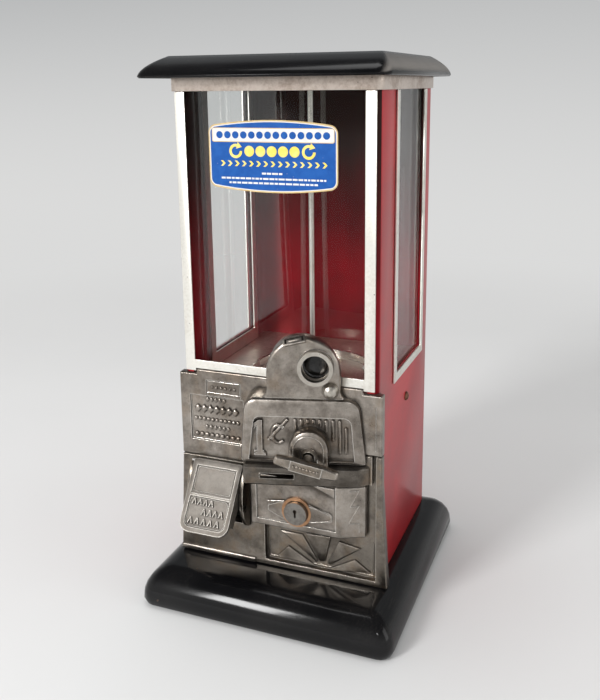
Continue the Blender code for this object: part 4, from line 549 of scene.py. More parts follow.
frontFace = Plane((0, castingFront, 0), rightward, upward)
plaqueFace = frontFace.lifted(-places["plaqueDepth"])
tabFace = frontFace.lifted(-places["tabDepth"])
panelFace = frontFace.lifted(-places["panelDepth"])
drawerFace = Plane((0, drawerFront, 0), rightward, upward)
drawerField = drawerFace.lifted(-places["drawerDepth"])
chamferFace = Plane((places["chamferFrom"], drawerFront, 0),
                    (drawerEnd - places["chamferFrom"], castingFront - drawerFront, 0), upward)
flapFace = Plane(middleOf("flap_pin"), rightward,
                 backward * math.sin(flapTilt) + upward * math.cos(flapTilt)).lifted(places["flapSheet"])
headAcross = rightward * math.cos(headTurn) + backward * math.sin(headTurn)
headFace = Plane((*places["headAxis"], 0), headAcross, upward)
recessFace = headFace.lifted(-places["recessDepth"])
handleFace = Plane(headFace.at(*places["handleFront"]),
                   headFace.across * math.cos(handleTilt) - headFace.up * math.sin(handleTilt),
                   headFace.up * math.cos(handleTilt) + headFace.across * math.sin(handleTilt))
glassFace = Plane((0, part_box("front_glass")[0][1], 0), rightward, upward)
rightFace = Plane((caseHigh[0], 0, 0), backward, upward)
leftFace = Plane((caseLow[0], 0, 0), -backward, upward)
backFace = Plane((0, caseHigh[1], 0), -rightward, upward)
levelFace = Plane((0, 0, 0), rightward, backward)


def onCircle(cx, cy, radius, degrees):
    across, up = radius if isinstance(radius, tuple) else (radius, radius)
    return cx + across * math.cos(math.radians(degrees)), cy + up * math.sin(math.radians(degrees))


def disc(cx, cy, radius, steps):
    return [onCircle(cx, cy, radius, 360 * i / steps) for i in range(steps)]


def roundedBox(left, bottom, right, top, radius, steps=5):
    points = []
    for cx, cy, start in ((right - radius, bottom + radius, -90), (right - radius, top - radius, 0),
                          (left + radius, top - radius, 90), (left + radius, bottom + radius, 180)):
        points += [onCircle(cx, cy, radius, start + 90 * i / steps) for i in range(steps + 1)]
    return points


def boxLine(left, bottom, right, top, radius, steps):   # the same outline as a closed line
    points = roundedBox(left, bottom, right, top, radius, steps)
    return points + [points[0]]


def spaced(start, end, count):
    return [start + (end - start) * i / (count - 1) for i in range(count)]


def insetOutline(points, inset, sharpest=0.3):   # a closed outline moved inward, anticlockwise points
    count = len(points)
    result = []
    for i in range(count):
        before, here, after = (Vector(points[(i + k) % count]) for k in (-1, 0, 1))
        first, second = (here - before).normalized(), (after - here).normalized()
        left, right = Vector((-first.y, first.x)), Vector((-second.y, second.x))
        middle = left + right
        if middle.length < 1e-6:   # the outline doubles back
            middle = left
        middle.normalize()
        result.append(here + middle * min(inset / max(middle.dot(left), sharpest), 3 * inset))
    return result


def anticlockwise(points):
    area = sum(points[i - 1][0] * points[i][1] - points[i][0] * points[i - 1][1] for i in range(len(points)))
    return list(points) if area > 0 else list(reversed(points))


def closeRings(shape, rings):   # walls from ring to ring, and a cap at each end
    count = len(rings[0])
    for low, high in zip(rings, rings[1:]):
        for i in range(count):
            j = (i + 1) % count
            shape.faces.new((low[i], low[j], high[j], high[i]))
    shape.faces.new(rings[-1])
    shape.faces.new(list(reversed(rings[0])))


def raisePad(shape, plane, points, height, slope, sink=0.35):   # a raised pad, its edge rounded in two steps
    points = [Vector(p) for p in anticlockwise(points)]
    rings = []
    for inset, n in ((0.0, -sink), (0.0, height * 0.35), (slope * 0.35, height * 0.80), (slope, height)):
        outline = insetOutline(points, inset) if inset else points
        rings.append([shape.verts.new(plane.at(p.x, p.y, n)) for p in outline])
    closeRings(shape, rings)


def flatPad(shape, plane, points, low, high):
    points = anticlockwise(points)
    closeRings(shape, [[shape.verts.new(plane.at(u, v, n)) for u, v in points] for n in (low, high)])


def meshOf(name, shape):   # keeps a drawn shape as a mesh, its faces outwards
    bmesh.ops.recalc_face_normals(shape, faces=shape.faces)
    mesh = bpy.data.meshes.new(name)
    shape.to_mesh(mesh)
    shape.free()
    return mesh


def faceOutwards(mesh):
    shape = bmesh.new()
    shape.from_mesh(mesh)
    bmesh.ops.recalc_face_normals(shape, faces=shape.faces)
    shape.to_mesh(mesh)
    shape.free()


def finishShape(name, shape, finish, body, angle):
    mesh = meshOf(name, shape)
    mesh.materials.append(paints[finish])
    mesh.shade_smooth()
    mesh.set_sharp_from_angle(angle=math.radians(angle))
    return addPiece(name, mesh, body)


class GeometryTree(Graph):   # a Geometry Nodes tree with named inputs
    def __init__(self, name, inputs):
        super().__init__(bpy.data.node_groups.new(name, "GeometryNodeTree"))
        sockets = self.tree.interface
        sockets.new_socket("Geometry", in_out="INPUT", socket_type="NodeSocketGeometry")
        sockets.new_socket("Geometry", in_out="OUTPUT", socket_type="NodeSocketGeometry")
        self.ids = {}
        for label, kind in inputs.items():
            item = sockets.new_socket(label, in_out="INPUT", socket_type="NodeSocket" + kind)
            self.ids[label] = item.identifier
        self.start = self.tree.nodes.new("NodeGroupInput")

    def given(self, label):
        return Wire(self, self.start.outputs[label])

    def close(self, geometry):   # every tree ends in Realize Instances and Set Material
        real = self.add("GeometryNodeRealizeInstances", {}, {0: geometry})
        smooth = self.add("GeometryNodeSetShadeSmooth", {}, {0: real})
        done = self.add("GeometryNodeSetMaterial", {}, {0: smooth, "Material": self.given("Material")})
        end = self.tree.nodes.new("NodeGroupOutput")
        self.tree.links.new(done.socket, end.inputs[0])
        return self


def makeRidgeTree():   # half-round ridges along drawn lines, their corners eased
    t = GeometryTree("ridgesAlongLines", {"Radius": "Float", "Corner": "Float", "Sides": "Int",
                                          "Material": "Material"})
    curve = t.add("GeometryNodeMeshToCurve", {}, {0: t.given("Geometry")})
    eased = t.add("GeometryNodeFilletCurve", {"mode": "POLY"},
                  {"Curve": curve, "Count": 3, "Radius": t.given("Corner"), "Limit Radius": True})
    profile = t.add("GeometryNodeCurvePrimitiveCircle", {}, {"Resolution": t.given("Sides"),
                                                             "Radius": t.given("Radius")})
    swept = t.add("GeometryNodeCurveToMesh", {}, {"Curve": eased, "Profile Curve": profile,
                                                  "Fill Caps": True})
    return t.close(swept)


def makeStudTree():   # one small shape on every point, each a little different in size and turn
    t = GeometryTree("studsOnPoints", {"Shape": "Object", "Turn": "Rotation", "Spread": "Float",
                                       "Seed": "Int", "Spin": "Float", "Material": "Material"})
    shape = t.add("GeometryNodeObjectInfo", {}, {"Object": t.given("Shape"), "As Instance": False},
                  out="Geometry")
    change = t.add("FunctionNodeRandomValue", {"data_type": "FLOAT"},
                   {2: 1 - t.given("Spread"), 3: 1 + t.given("Spread"), "Seed": t.given("Seed")}, out=1)
    size = t.add("GeometryNodeInputNamedAttribute", {"data_type": "FLOAT"}, {"Name": "size"})
    angle = t.add("FunctionNodeRandomValue", {"data_type": "FLOAT"},
                  {2: 0 - t.given("Spin"), 3: t.given("Spin"), "Seed": t.given("Seed")}, out=1)
    spin = t.add("FunctionNodeAxisAngleToRotation", {}, {"Axis": (0, 0, 1), "Angle": angle})
    turn = t.add("FunctionNodeRotateRotation", {"rotation_space": "LOCAL"},
                 {"Rotation": t.given("Turn"), "Rotate By": spin})
    placed = t.add("GeometryNodeInstanceOnPoints", {},
                   {"Points": t.given("Geometry"), "Instance": shape, "Rotation": turn,
                    "Scale": size * change})
    return t.close(placed)


def makeRingTree():   # a drawn section swept round a circle
    t = GeometryTree("sectionRoundCircle", {"Section": "Object", "Radius": "Float", "Steps": "Int",
                                            "Material": "Material"})
    circle = t.add("GeometryNodeCurvePrimitiveCircle", {}, {"Resolution": t.given("Steps"),
                                                            "Radius": t.given("Radius")})
    drawn = t.add("GeometryNodeObjectInfo", {}, {"Object": t.given("Section")}, out="Geometry")
    profile = t.add("GeometryNodeMeshToCurve", {}, {0: drawn})
    swept = t.add("GeometryNodeCurveToMesh", {}, {"Curve": circle, "Profile Curve": profile})
    return t.close(swept)


ridgeTree = makeRidgeTree()
studTree = makeStudTree()
ringTree = makeRingTree()
patterns = []   # objects that the trees read, taken away at the end


def keepPattern(name, mesh):
    item = bpy.data.objects.new(name, mesh)
    bpy.context.scene.collection.objects.link(item)
    patterns.append(item)
    return item


def growMesh(name, tree, start, values):   # runs a tree on a start mesh and keeps the plain result
    seed = bpy.data.objects.new(name + "Seed", start)
    bpy.context.scene.collection.objects.link(seed)
    modifier = seed.modifiers.new("Grow", "NODES")
    modifier.node_group = tree.tree
    for label, value in values.items():
        modifier[tree.ids[label]] = value
    seed.update_tag()
    bpy.context.view_layer.update()
    graph = bpy.context.evaluated_depsgraph_get()
    mesh = bpy.data.meshes.new_from_object(seed.evaluated_get(graph))
    seed.modifiers.remove(modifier)
    bpy.data.objects.remove(seed, do_unlink=True)
    mesh.name = name
    return mesh


def linesMesh(name, lines):   # lines: lists of points; a closed line repeats its first point
    points, edges = [], []
    for line in lines:
        closed = (line[0] - line[-1]).length < 1e-9
        line = line[:-1] if closed else line
        first = len(points)
        points += line
        edges += [(first + i, first + i + 1) for i in range(len(line) - 1)]
        if closed:
            edges.append((first + len(line) - 1, first))
    mesh = bpy.data.meshes.new(name)
    mesh.from_pydata([tuple(p) for p in points], edges, [])
    return mesh


ridgeSettings = {"sides": 10, "sharp": 60}
studSettings = {"seed": 3, "sharp": 40}


def ridges(name, plane, lines, radius, body, finish, corner=0.4, lift=0.0):
    drawn = linesMesh(name, [[plane.at(u, v, lift) for u, v in line] for line in lines])
    mesh = growMesh(name, ridgeTree, drawn, {"Radius": radius * mm, "Corner": corner * mm,
                                             "Sides": ridgeSettings["sides"], "Material": paints[finish]})
    faceOutwards(mesh)
    mesh.set_sharp_from_angle(angle=math.radians(ridgeSettings["sharp"]))
    return addPiece(name, mesh, body)


def studs(name, plane, spots, shape, body, finish, spread=0.0, spin=0.0, seed=None, turn=0.0):
    points = bpy.data.meshes.new(name)   # spots: u, v and size
    points.from_pydata([tuple(plane.at(u, v)) for u, v, size in spots], [], [])
    layer = points.attributes.new("size", "FLOAT", "POINT")
    layer.data.foreach_set("value", [size for u, v, size in spots])
    facing = plane.facing() @ Matrix.Rotation(turn, 3, "Z")
    mesh = growMesh(name, studTree, points, {"Shape": shape, "Turn": facing.to_euler(), "Spread": spread,
                                             "Seed": seed or studSettings["seed"], "Spin": spin,
                                             "Material": paints[finish]})
    faceOutwards(mesh)
    mesh.set_sharp_from_angle(angle=math.radians(studSettings["sharp"]))
    return addPiece(name, mesh, body)


# the small patterns are drawn 1 mm in radius, and each stud's size scales its copy
beadLook = {"sides": 10, "rows": 3, "foot": -0.35, "rise": 0.75, "reach": 80}
screwHeadLook = {"sides": 20, "profile": [(1.0, -0.3), (1.0, 0.12), (0.90, 0.32), (0.66, 0.50), (0.36, 0.60)],
                 "cutter": (3.0, 0.30, 0.5), "cutterMiddle": 0.53}
lozengeLook = {"points": [(0.85, 0), (0, 1.0), (-0.85, 0), (0, -1.0)], "height": 0.55, "slope": 0.40}
chevronLook = {"points": [(-0.85, -0.90), (-0.38, -0.90), (0, 0.05), (0.38, -0.90), (0.85, -0.90),
                          (0.24, 0.90), (-0.24, 0.90)], "height": 0.36, "slope": 0.12}


def turnedShape(profile, sides):   # profile: radius and height
    shape = bmesh.new()
    rings = []
    for radius, n in profile:
        rings.append([shape.verts.new(levelFace.at(*onCircle(0, 0, radius, 360 * i / sides), n))
                      for i in range(sides)])
    closeRings(shape, rings)
    return shape


def beadShape(look):   # a low round bead
    angles = [math.radians(look["reach"] * r / look["rows"]) for r in range(look["rows"] + 1)]
    profile = [(1.0, look["foot"])] + [(math.cos(a), look["rise"] * math.sin(a)) for a in angles]
    return keepPattern("beadPattern", meshOf("beadPattern", turnedShape(profile, look["sides"])))


def padShape(name, look):
    shape = bmesh.new()
    raisePad(shape, levelFace, look["points"], look["height"], look["slope"])
    return keepPattern(name, meshOf(name, shape))


def screwShape(look):   # a round head with a slot
    item = keepPattern("screwPattern", meshOf("screwPattern", turnedShape(look["profile"], look["sides"])))
    cutter = bmesh.new()
    bmesh.ops.create_cube(cutter, size=1.0)
    for v in cutter.verts:
        v.co = Vector([c * s * mm for c, s in zip(v.co, look["cutter"])]) + upward * look["cutterMiddle"] * mm
    slotItem = keepPattern("screwPatternSlot", meshOf("screwPatternSlot", cutter))
    boolean = item.modifiers.new("Slot", "BOOLEAN")
    boolean.operation = "DIFFERENCE"
    boolean.solver = "EXACT"
    boolean.object = slotItem
    graph = bpy.context.evaluated_depsgraph_get()
    mesh = bpy.data.meshes.new_from_object(item.evaluated_get(graph))
    item.modifiers.remove(boolean)
    item.data = mesh
    return item


beadPattern = beadShape(beadLook)
lozengePattern = padShape("lozengePattern", lozengeLook)
chevronPattern = padShape("chevronPattern", chevronLook)
screwPattern = screwShape(screwHeadLook)

sunLook = {"height": 1.5, "slope": 1.0,
           "rays": [[(28.0, 34.6), (6.3, 46.6), (-3.3, 36.3)],
                    [(28.7, 37.2), (29.6, 39.2), (17.6, 58.6), (-0.4, 58.6)],
                    [(31.0, 38.6), (35.6, 39.6), (40.2, 60.6), (20.2, 60.0)],
                    [(37.3, 38.8), (39.3, 37.2), (63.6, 55.8), (46.6, 58.4)],
                    [(40.0, 33.2), (39.4, 35.0), (58.8, 46.1), (71.2, 37.6)]],
           "border": [(-9.2, 60.0), (-9.2, 35.6), (72.9, 35.6), (72.9, 62.0)], "borderRadius": 0.45}


def makeSunPanel(look):
    shape = bmesh.new()
    for ray in look["rays"]:
        raisePad(shape, panelFace, ray, look["height"], look["slope"])
    finishShape("sun_rays", shape, "castLow", "machine", 25)
    ridges("panel_border", panelFace, [look["border"]], look["borderRadius"], "machine", "castLow")


# a row is left, right, height, stud size, count and kind
plaqueLook = {"rows": [(-58.9, -41.0, 156.9, 2.05, 5, "lozenge"), (-68.4, -30.2, 149.2, 3.55, 7, "lozenge"),
                       (-68.9, -30.2, 140.9, 1.75, 11, "bead"), (-60.2, -38.0, 134.8, 2.05, 6, "lozenge"),
                       (-68.8, -30.2, 128.4, 2.05, 9, "bead")],
              "tabRow": (-52.5, -34.0, 167.0, 1.35, 6), "lozengeSpread": 0.03, "beadSpread": 0.05,
              "rim": [(-70.4, 161.0), (-70.4, 124.5), (-27.8, 124.5)], "rimRadius": 0.50,
              "tabRim": [(-56.6, 162.6), (-56.6, 171.6), (-29.8, 171.6), (-29.8, 162.6), (-56.6, 162.6)],
              "tabRimRadius": 0.42, "sideBead": [(75.0, 135.5), (75.0, 168.0)], "sideBeadRadius": 0.55,
              "foot": (-83.6, 29.4, -19.5, 33.6), "footCorner": 0.8, "footHeight": 1.5, "footSlope": 1.0}


def makePlaque(look):
    rows = {"bead": [], "lozenge": []}
    for left, right, v, size, count, kind in look["rows"]:
        rows[kind] += [(u, v, size) for u in spaced(left + size, right - size, count)]
    studs("plaque_lozenges", plaqueFace, rows["lozenge"], lozengePattern, "machine", "cast",
          look["lozengeSpread"])
    studs("plaque_beads", plaqueFace, rows["bead"], beadPattern, "machine", "cast", look["beadSpread"])
    left, right, v, size, count = look["tabRow"]
    studs("tab_beads", tabFace, [(u, v, size) for u in spaced(left, right, count)], beadPattern, "machine",
          "cast", look["beadSpread"])
    ridges("plaque_rim", plaqueFace, [look["rim"]], look["rimRadius"], "machine", "cast")
    ridges("tab_rim", tabFace, [look["tabRim"]], look["tabRimRadius"], "machine", "cast")
    ridges("casting_bead", frontFace, [look["sideBead"]], look["sideBeadRadius"], "machine", "cast")
    shape = bmesh.new()
    raisePad(shape, frontFace, roundedBox(*look["foot"], look["footCorner"], 3), look["footHeight"],
             look["footSlope"])
    finishShape("casting_foot_strip", shape, "cast", "machine", 40)


flapLook = {"rows": [(-14.6, 4.8, -30.0, 2.75, 4), (-5.2, 14.4, -36.9, 2.75, 4),
                     (-14.6, 12.6, -43.8, 2.75, 5)],
            "spread": 0.02, "upper": (-15.2, -22.6, 15.2, -4.6, 1.2),
            "lower": (-15.6, -47.8, 15.6, -27.2, 3.2),
            "ridge": 0.38, "corner": 0.1}


def makeFlapRelief(look):
    spots = []
    for left, right, v, size, count in look["rows"]:
        spots += [(u, v, size) for u in spaced(left + size, right - size, count)]
    studs("flap_chevrons", flapFace, spots, chevronPattern, "flap", "castBright", look["spread"])
    ridges("flap_ridges", flapFace, [boxLine(*look["upper"], 4), boxLine(*look["lower"], 4)], look["ridge"],
           "flap", "castBright", look["corner"])


drawerLook = {"facet": [(29.4, 105.9), (47.4, 98.4), (47.4, 105.9)], "facetHeight": 1.0, "facetSlope": 0.9,
              "zigzag": [(8.4, 104.4), (15.4, 104.9), (8.6, 92.2), (15.2, 92.8), (7.6, 79.4), (15.2, 79.2),
                         (15.2, 72.6)], "zigzagRadius": 0.62, "zigzagCorner": 0.3,
              "lozenge": [[(-5.4, 88.0), (8.0, 90.1)],
                          [(27.6, 90.2), (43.4, 84.9), (45.0, 82.6), (43.4, 80.2), (29.6, 76.6)]],
              "lozengeRadius": 0.42, "lozengeCorner": 1.0}


def makeDrawerRelief(look):
    shape = bmesh.new()
    raisePad(shape, drawerField, look["facet"], look["facetHeight"], look["facetSlope"])
    finishShape("drawer_facet", shape, "cast", "drawer", 25)
    ridges("drawer_zigzag", chamferFace, [look["zigzag"]], look["zigzagRadius"], "drawer", "cast",
           look["zigzagCorner"])
    ridges("drawer_lozenge", drawerFace, look["lozenge"], look["lozengeRadius"], "drawer", "cast",
           look["lozengeCorner"])


headLook = {"centMiddle": (-21.4, 145.6), "centRadius": (4.9, 6.6), "centAngles": (48, 313, 8),
            "stroke": 1.45, "strokeLift": 0.45, "slash": [(-28.6, 141.2), (-14.8, 156.9)],
            "one": [(-39.4, 129.0), (-30.2, 129.0), (-30.2, 131.2), (-32.6, 132.4), (-32.6, 156.6),
                    (-35.6, 156.6), (-40.0, 153.4), (-40.0, 151.0), (-37.0, 152.0), (-37.0, 132.4),
                    (-39.4, 131.2)], "oneHeight": 2.1, "oneSlope": 0.5,
            "reeds": [(-9.6, 147.4, 157.4), (-5.2, 151.6, 157.4), (-0.8, 153.6, 157.4), (3.6, 153.6, 157.4),
                      (8.0, 151.6, 157.4), (12.4, 147.4, 157.4), (17.2, 141.0, 157.4), (22.0, 131.5, 157.4),
                      (26.4, 131.5, 152.0)],
            "reedHalf": 1.4, "reedRound": 0.98, "reedHeight": 1.5, "reedSlope": 0.7,
            "archMiddle": (0.8, 138.4), "archRadius": 10.6, "archFoot": 127.0, "archOut": 7.8,
            "archRidge": 0.55, "slotRim": (-34.9, 114.1, -9.9, 118.4, 0.6), "slotRimOut": 3.0,
            "slotRimRidge": 0.5, "corner": 0.05}


def makeHeadRelief(look):
    cent = [onCircle(*look["centMiddle"], look["centRadius"], a) for a in range(*look["centAngles"])]
    ridges("cent_sign", recessFace, [cent, look["slash"]], look["stroke"], "machine", "cast", look["corner"],
           look["strokeLift"])
    shape = bmesh.new()
    raisePad(shape, recessFace, look["one"], look["oneHeight"], look["oneSlope"])
    half = look["reedHalf"]
    for u, low, high in look["reeds"]:
        reed = roundedBox(u - half, low, u + half, high, half * look["reedRound"])
        raisePad(shape, recessFace, reed, look["reedHeight"], look["reedSlope"])
    finishShape("recess_relief", shape, "cast", "machine", 50)
    middle, radius = look["archMiddle"][0], look["archRadius"]
    arch = [onCircle(*look["archMiddle"], radius, a) for a in range(0, 181, 10)]
    arch = [(middle + radius, look["archFoot"])] + arch + [(middle - radius, look["archFoot"])]
    ridges("arch_line", headFace.lifted(look["archOut"]), [arch], look["archRidge"], "machine", "cast",
           look["corner"])
    ridges("visor_slot_rim", headFace.lifted(look["slotRimOut"]), [boxLine(*look["slotRim"], 2)],
           look["slotRimRidge"], "machine", "castVisor", look["corner"])


coinSlotLook = {"domeMiddle": (-3.5, 190.8), "angle": 104, "reach": 24.6, "depth": 4.1, "plate": (8.0, 2.9),
                "plateCorner": 0.7, "plateHeight": 0.55, "plateSlope": 0.5, "plateSink": 1.6,
                "mouth": [(-6.9, -1.7, -5.3, 1.9), (5.3, -1.7, 6.9, 1.9), (-5.6, 1.1, 5.6, 1.9)],
                "mouthCorner": 0.3, "mouthHeight": 0.62, "mouthSlope": 0.02, "mouthSink": 0.1}


def makeCoinSlot(look):   # the raised plate round the coin slot, halfway over the dome's edge
    angle = math.radians(look["angle"])
    outward = headFace.across * math.cos(angle) + headFace.up * math.sin(angle)
    along = headFace.across * math.sin(angle) - headFace.up * math.cos(angle)
    facing = (outward + headFace.out).normalized()
    seat = Plane(headFace.at(*onCircle(*look["domeMiddle"], look["reach"], look["angle"]), -look["depth"]),
                 along, facing.cross(along))
    half, high = look["plate"]
    shape = bmesh.new()
    raisePad(shape, seat, roundedBox(-half, -high, half, high, look["plateCorner"], 3), look["plateHeight"],
             look["plateSlope"], look["plateSink"])
    finishShape("coin_slot_plate", shape, "cast", "machine", 40)
    # the slot's mouth as near-black bars, a painted shadow
    shape = bmesh.new()
    for bar in look["mouth"]:
        raisePad(shape, seat, roundedBox(*bar, look["mouthCorner"], 2), look["mouthHeight"],
                 look["mouthSlope"], look["mouthSink"])
    finishShape("coin_slot_mouth", shape, "shadow", "machine", 40)


handleLook = {"firstBead": -8.4, "pitch": 2.4, "count": 8, "size": 1.15, "spread": 0.05}


def makeHandleRelief(look):
    beads = [(look["firstBead"] + look["pitch"] * i, 0, look["size"]) for i in range(look["count"])]
    studs("handle_beads", handleFace, beads, beadPattern, "handle", "castHandle", look["spread"])


screwLook = {"side": (17.2, 149.0, 3.6), "rightTurn": 0.6, "leftTurn": 1.9,
             "backAcross": 66.0, "backHeights": (60.0, 150.0, 372.0), "backSize": 2.4, "spin": 1.4, "seed": 5}


def makeScrews(look):
    y, z, size = look["side"]
    studs("side_screw_right", rightFace, [(y, z, size)], screwPattern, "machine", "screw",
          turn=look["rightTurn"])
    studs("side_screw_left", leftFace, [(-y, z, size)], screwPattern, "machine", "screw",
          turn=look["leftTurn"])
    spots = [(u, v, look["backSize"]) for v in look["backHeights"]
             for u in (-look["backAcross"], look["backAcross"])]
    studs("back_screws", backFace, spots, screwPattern, "machine", "steel", spin=look["spin"],
          seed=look["seed"])


stickerLook = {"left": -49.2, "right": 46.4, "bottom": 317.6, "top": 359.4, "bow": 3.8, "corner": 5.0,
               "bowSteps": 10, "sheet": 0.10, "step": 0.045, "lift": 0.02,
               "whiteInset": 0.9, "blueInset": 1.5,
               "band": (-46.0, 348.6, 43.6, 357.4), "bandCorner": 1.0, "bandRim": 0.5, "bandRimCorner": 1.4,
               "fineRows": [(-9.0, 6.2, 326.3, 1.3), (-40.0, 38.0, 322.7, 1.25), (-34.0, 32.6, 319.6, 1.25)],
               "dashLengths": (1.6, 4.6), "dashGap": 0.7, "seed": 11,
               "ballRow": 342.0, "balls": (-18.2, 8.4, 5, 3.7), "arrows": (-28.5, 25.7), "arrowRadius": 4.0,
               "arrowWidth": 1.9, "arrowAngles": (75, 360), "arrowHead": 2.4, "arrowPoint": 1.6,
               "chevrons": (-40.2, 5.4, 15),
               "chevronPoints": [(0, 331.6), (1.9, 333.5), (0, 335.4), (1.7, 335.4), (3.6, 333.5),
                                 (1.7, 331.6)],
               "dots": (-40.6, 6.08, 14, 2.5), "dotRow": 353.0}


def stickerOutline(look, inset):   # a rounded label whose long edges bow outwards
    left, right = look["left"] + inset, look["right"] - inset
    bottom, top, bow = look["bottom"] + inset, look["top"] - inset, look["bow"]
    middle, half = (left + right) / 2, (right - left) / 2
    corners = []
    for u, v in roundedBox(left, bottom, right, top, look["corner"] - inset):
        rise = bow * max(0.0, 1 - ((u - middle) / half) ** 2)
        corners.append((u, v + rise if v > (bottom + top) / 2 else v - rise))
    steps = look["bowSteps"]
    shares = [k / steps for k in range(2 - steps, steps - 1)]
    topRow = [(middle + half * share, top + bow * (1 - share ** 2)) for share in reversed(shares)]
    lowRow = [(middle + half * share, bottom - bow * (1 - share ** 2)) for share in shares]
    rightSide = len(corners) // 2
    return corners[:rightSide] + topRow + corners[rightSide:] + lowRow


def arcBand(cx, cy, radius, width, start, end, steps=24):
    angles = [start + (end - start) * i / steps for i in range(steps + 1)]
    return [onCircle(cx, cy, radius + width / 2, a) for a in angles] \
        + [onCircle(cx, cy, radius - width / 2, a) for a in reversed(angles)]


def arrowHead(cx, cy, radius, degrees, size, point):   # its point goes clockwise round the circle
    away = Vector(onCircle(0, 0, 1, degrees))
    spot = Vector((cx, cy)) + away * radius
    onward = Vector((away.y, -away.x))
    return [tuple(spot + away * size), tuple(spot - away * size), tuple(spot + onward * size * point)]


def dashRows(look):   # rows of short dashes
    draw = random.Random(look["seed"])
    dashes = []
    for start, end, v, size in look["fineRows"]:
        u = start
        while u < end:
            long = draw.uniform(*look["dashLengths"])
            stop = min(u + long, end)
            dashes.append([(u, v), (stop, v), (stop, v + size), (u, v + size)])
            u += long + look["dashGap"]
    return dashes


def turningMarks(look):   # two turning arrows either side of a row of balls, over a row of chevrons
    marks = []
    row, radius, angles = look["ballRow"], look["arrowRadius"], look["arrowAngles"]
    for cx in look["arrows"]:
        marks.append(arcBand(cx, row, radius, look["arrowWidth"], *angles))
        marks.append(arrowHead(cx, row, radius, angles[0], look["arrowHead"], look["arrowPoint"]))
    first, pitch, count, size = look["balls"]
    marks += [disc(first + pitch * i, row, size, 24) for i in range(count)]
    first, pitch, count = look["chevrons"]
    marks += [[(first + pitch * i + u, v) for u, v in look["chevronPoints"]] for i in range(count)]
    return marks


def makeSticker(look):   # thin layers of ink, each a little prouder than the last
    sheet, step = look["sheet"], look["step"]
    left, bottom, right, top = look["band"]
    rim = look["bandRim"]
    band = roundedBox(left, bottom, right, top, look["bandCorner"], 3)
    bandRim = roundedBox(left - rim, bottom - rim, right + rim, top + rim, look["bandRimCorner"], 3)
    first, pitch, count, size = look["dots"]
    dots = [disc(first + pitch * i, look["dotRow"], size, 20) for i in range(count)]
    low, high = sheet + step, sheet + 3 * step
    layers = {"inkGold": [(stickerOutline(look, 0.0), look["lift"], sheet),
                          (bandRim, low, sheet + 2.5 * step)],
              "inkWhite": [(stickerOutline(look, look["whiteInset"]), sheet / 2, sheet + step)]
              + [(points, low, high) for points in [band] + dashRows(look)],
              "inkBlue": [(stickerOutline(look, look["blueInset"]), sheet / 2, sheet + 2 * step)]
              + [(points, low, sheet + 4 * step) for points in dots],
              "inkYellow": [(points, low, high) for points in turningMarks(look)]}
    for ink, pads in layers.items():
        shape = bmesh.new()
        for points, foot, head in pads:
            flatPad(shape, glassFace, points, foot, head)
        finishShape("label_" + ink[3:].lower(), shape, ink, "machine", 20)


# sections are drawn as distance from the ring's own radius, and height
ringLook = {"bezel": {"radius": 11.0, "steps": 72, "place": (5.6, 196.6, -0.42),
                      "section": [(1.4, -4.0), (1.4, 0.2), (1.25, 0.75), (0.85, 1.2), (0.3, 1.42),
                                  (-0.3, 1.42), (-0.85, 1.2), (-1.25, 0.75), (-1.4, 0.2), (-1.4, -4.0)]},
            "lock": {"radius": 10.3, "steps": 72,
                     "section": [(1.1, 0.0), (1.1, 2.0), (0.9, 2.55), (0.5, 2.95), (0.0, 3.06), (-0.5, 2.95),
                                 (-0.85, 2.6), (-1.1, 2.0), (-1.1, 0.0)]},
            "rim": {"radius": 47.6, "steps": 96, "sink": 0.4 * mm,
                    "section": [(1.0, -0.4), (1.0, 0.1), (0.75, 0.62), (0.25, 0.86), (-0.25, 0.86),
                                (-0.75, 0.62), (-1.0, 0.1), (-1.0, -0.4)]}, "sharp": 50}


def ring(name, plane, look, body, finish, slot=None):
    points = [Vector((u, v, 0)) * mm for u, v in look["section"]]
    drawn = keepPattern(name + "Section", linesMesh(name + "Section", [points + [points[0]]]))
    start = bpy.data.meshes.new(name + "Start")
    mesh = growMesh(name, ringTree, start, {"Section": drawn, "Radius": look["radius"] * mm,
                                            "Steps": look["steps"], "Material": paints[finish]})
    mesh.transform(Matrix.Translation(plane.origin) @ plane.facing().to_4x4())
    faceOutwards(mesh)
    mesh.set_sharp_from_angle(angle=math.radians(ringLook["sharp"]))
    piece = addPiece(name, mesh, body)
    if slot:
        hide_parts(slot)


def makeRings(look):
    ring("viewer_bezel_turned", Plane(headFace.at(*look["bezel"]["place"]), headFace.across, headFace.up),
         look["bezel"], "machine", "bezel", "viewer_bezel")
    lock, lockBack = middleOf("lock_ring"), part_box("lock_ring")[1][1]
    ring("lock_ring_turned", Plane((lock.x, lockBack, lock.z), rightward, upward), look["lock"], "drawer",
         "copper", "lock_ring")
    wheel, wheelTop = middleOf("wheel_housing"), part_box("wheel_housing")[1][2]
    ring("wheel_rim_bead", Plane((wheel.x, wheel.y, wheelTop - look["rim"]["sink"]), rightward, backward),
         look["rim"], "machine", "polished")


makeSunPanel(sunLook)
makePlaque(plaqueLook)
makeFlapRelief(flapLook)
makeDrawerRelief(drawerLook)
makeHeadRelief(headLook)
makeCoinSlot(coinSlotLook)
makeHandleRelief(handleLook)
makeScrews(screwLook)
makeSticker(stickerLook)
makeRings(ringLook)
for item in patterns:
    bpy.data.objects.remove(item, do_unlink=True)
print("ornament, screws and label made")

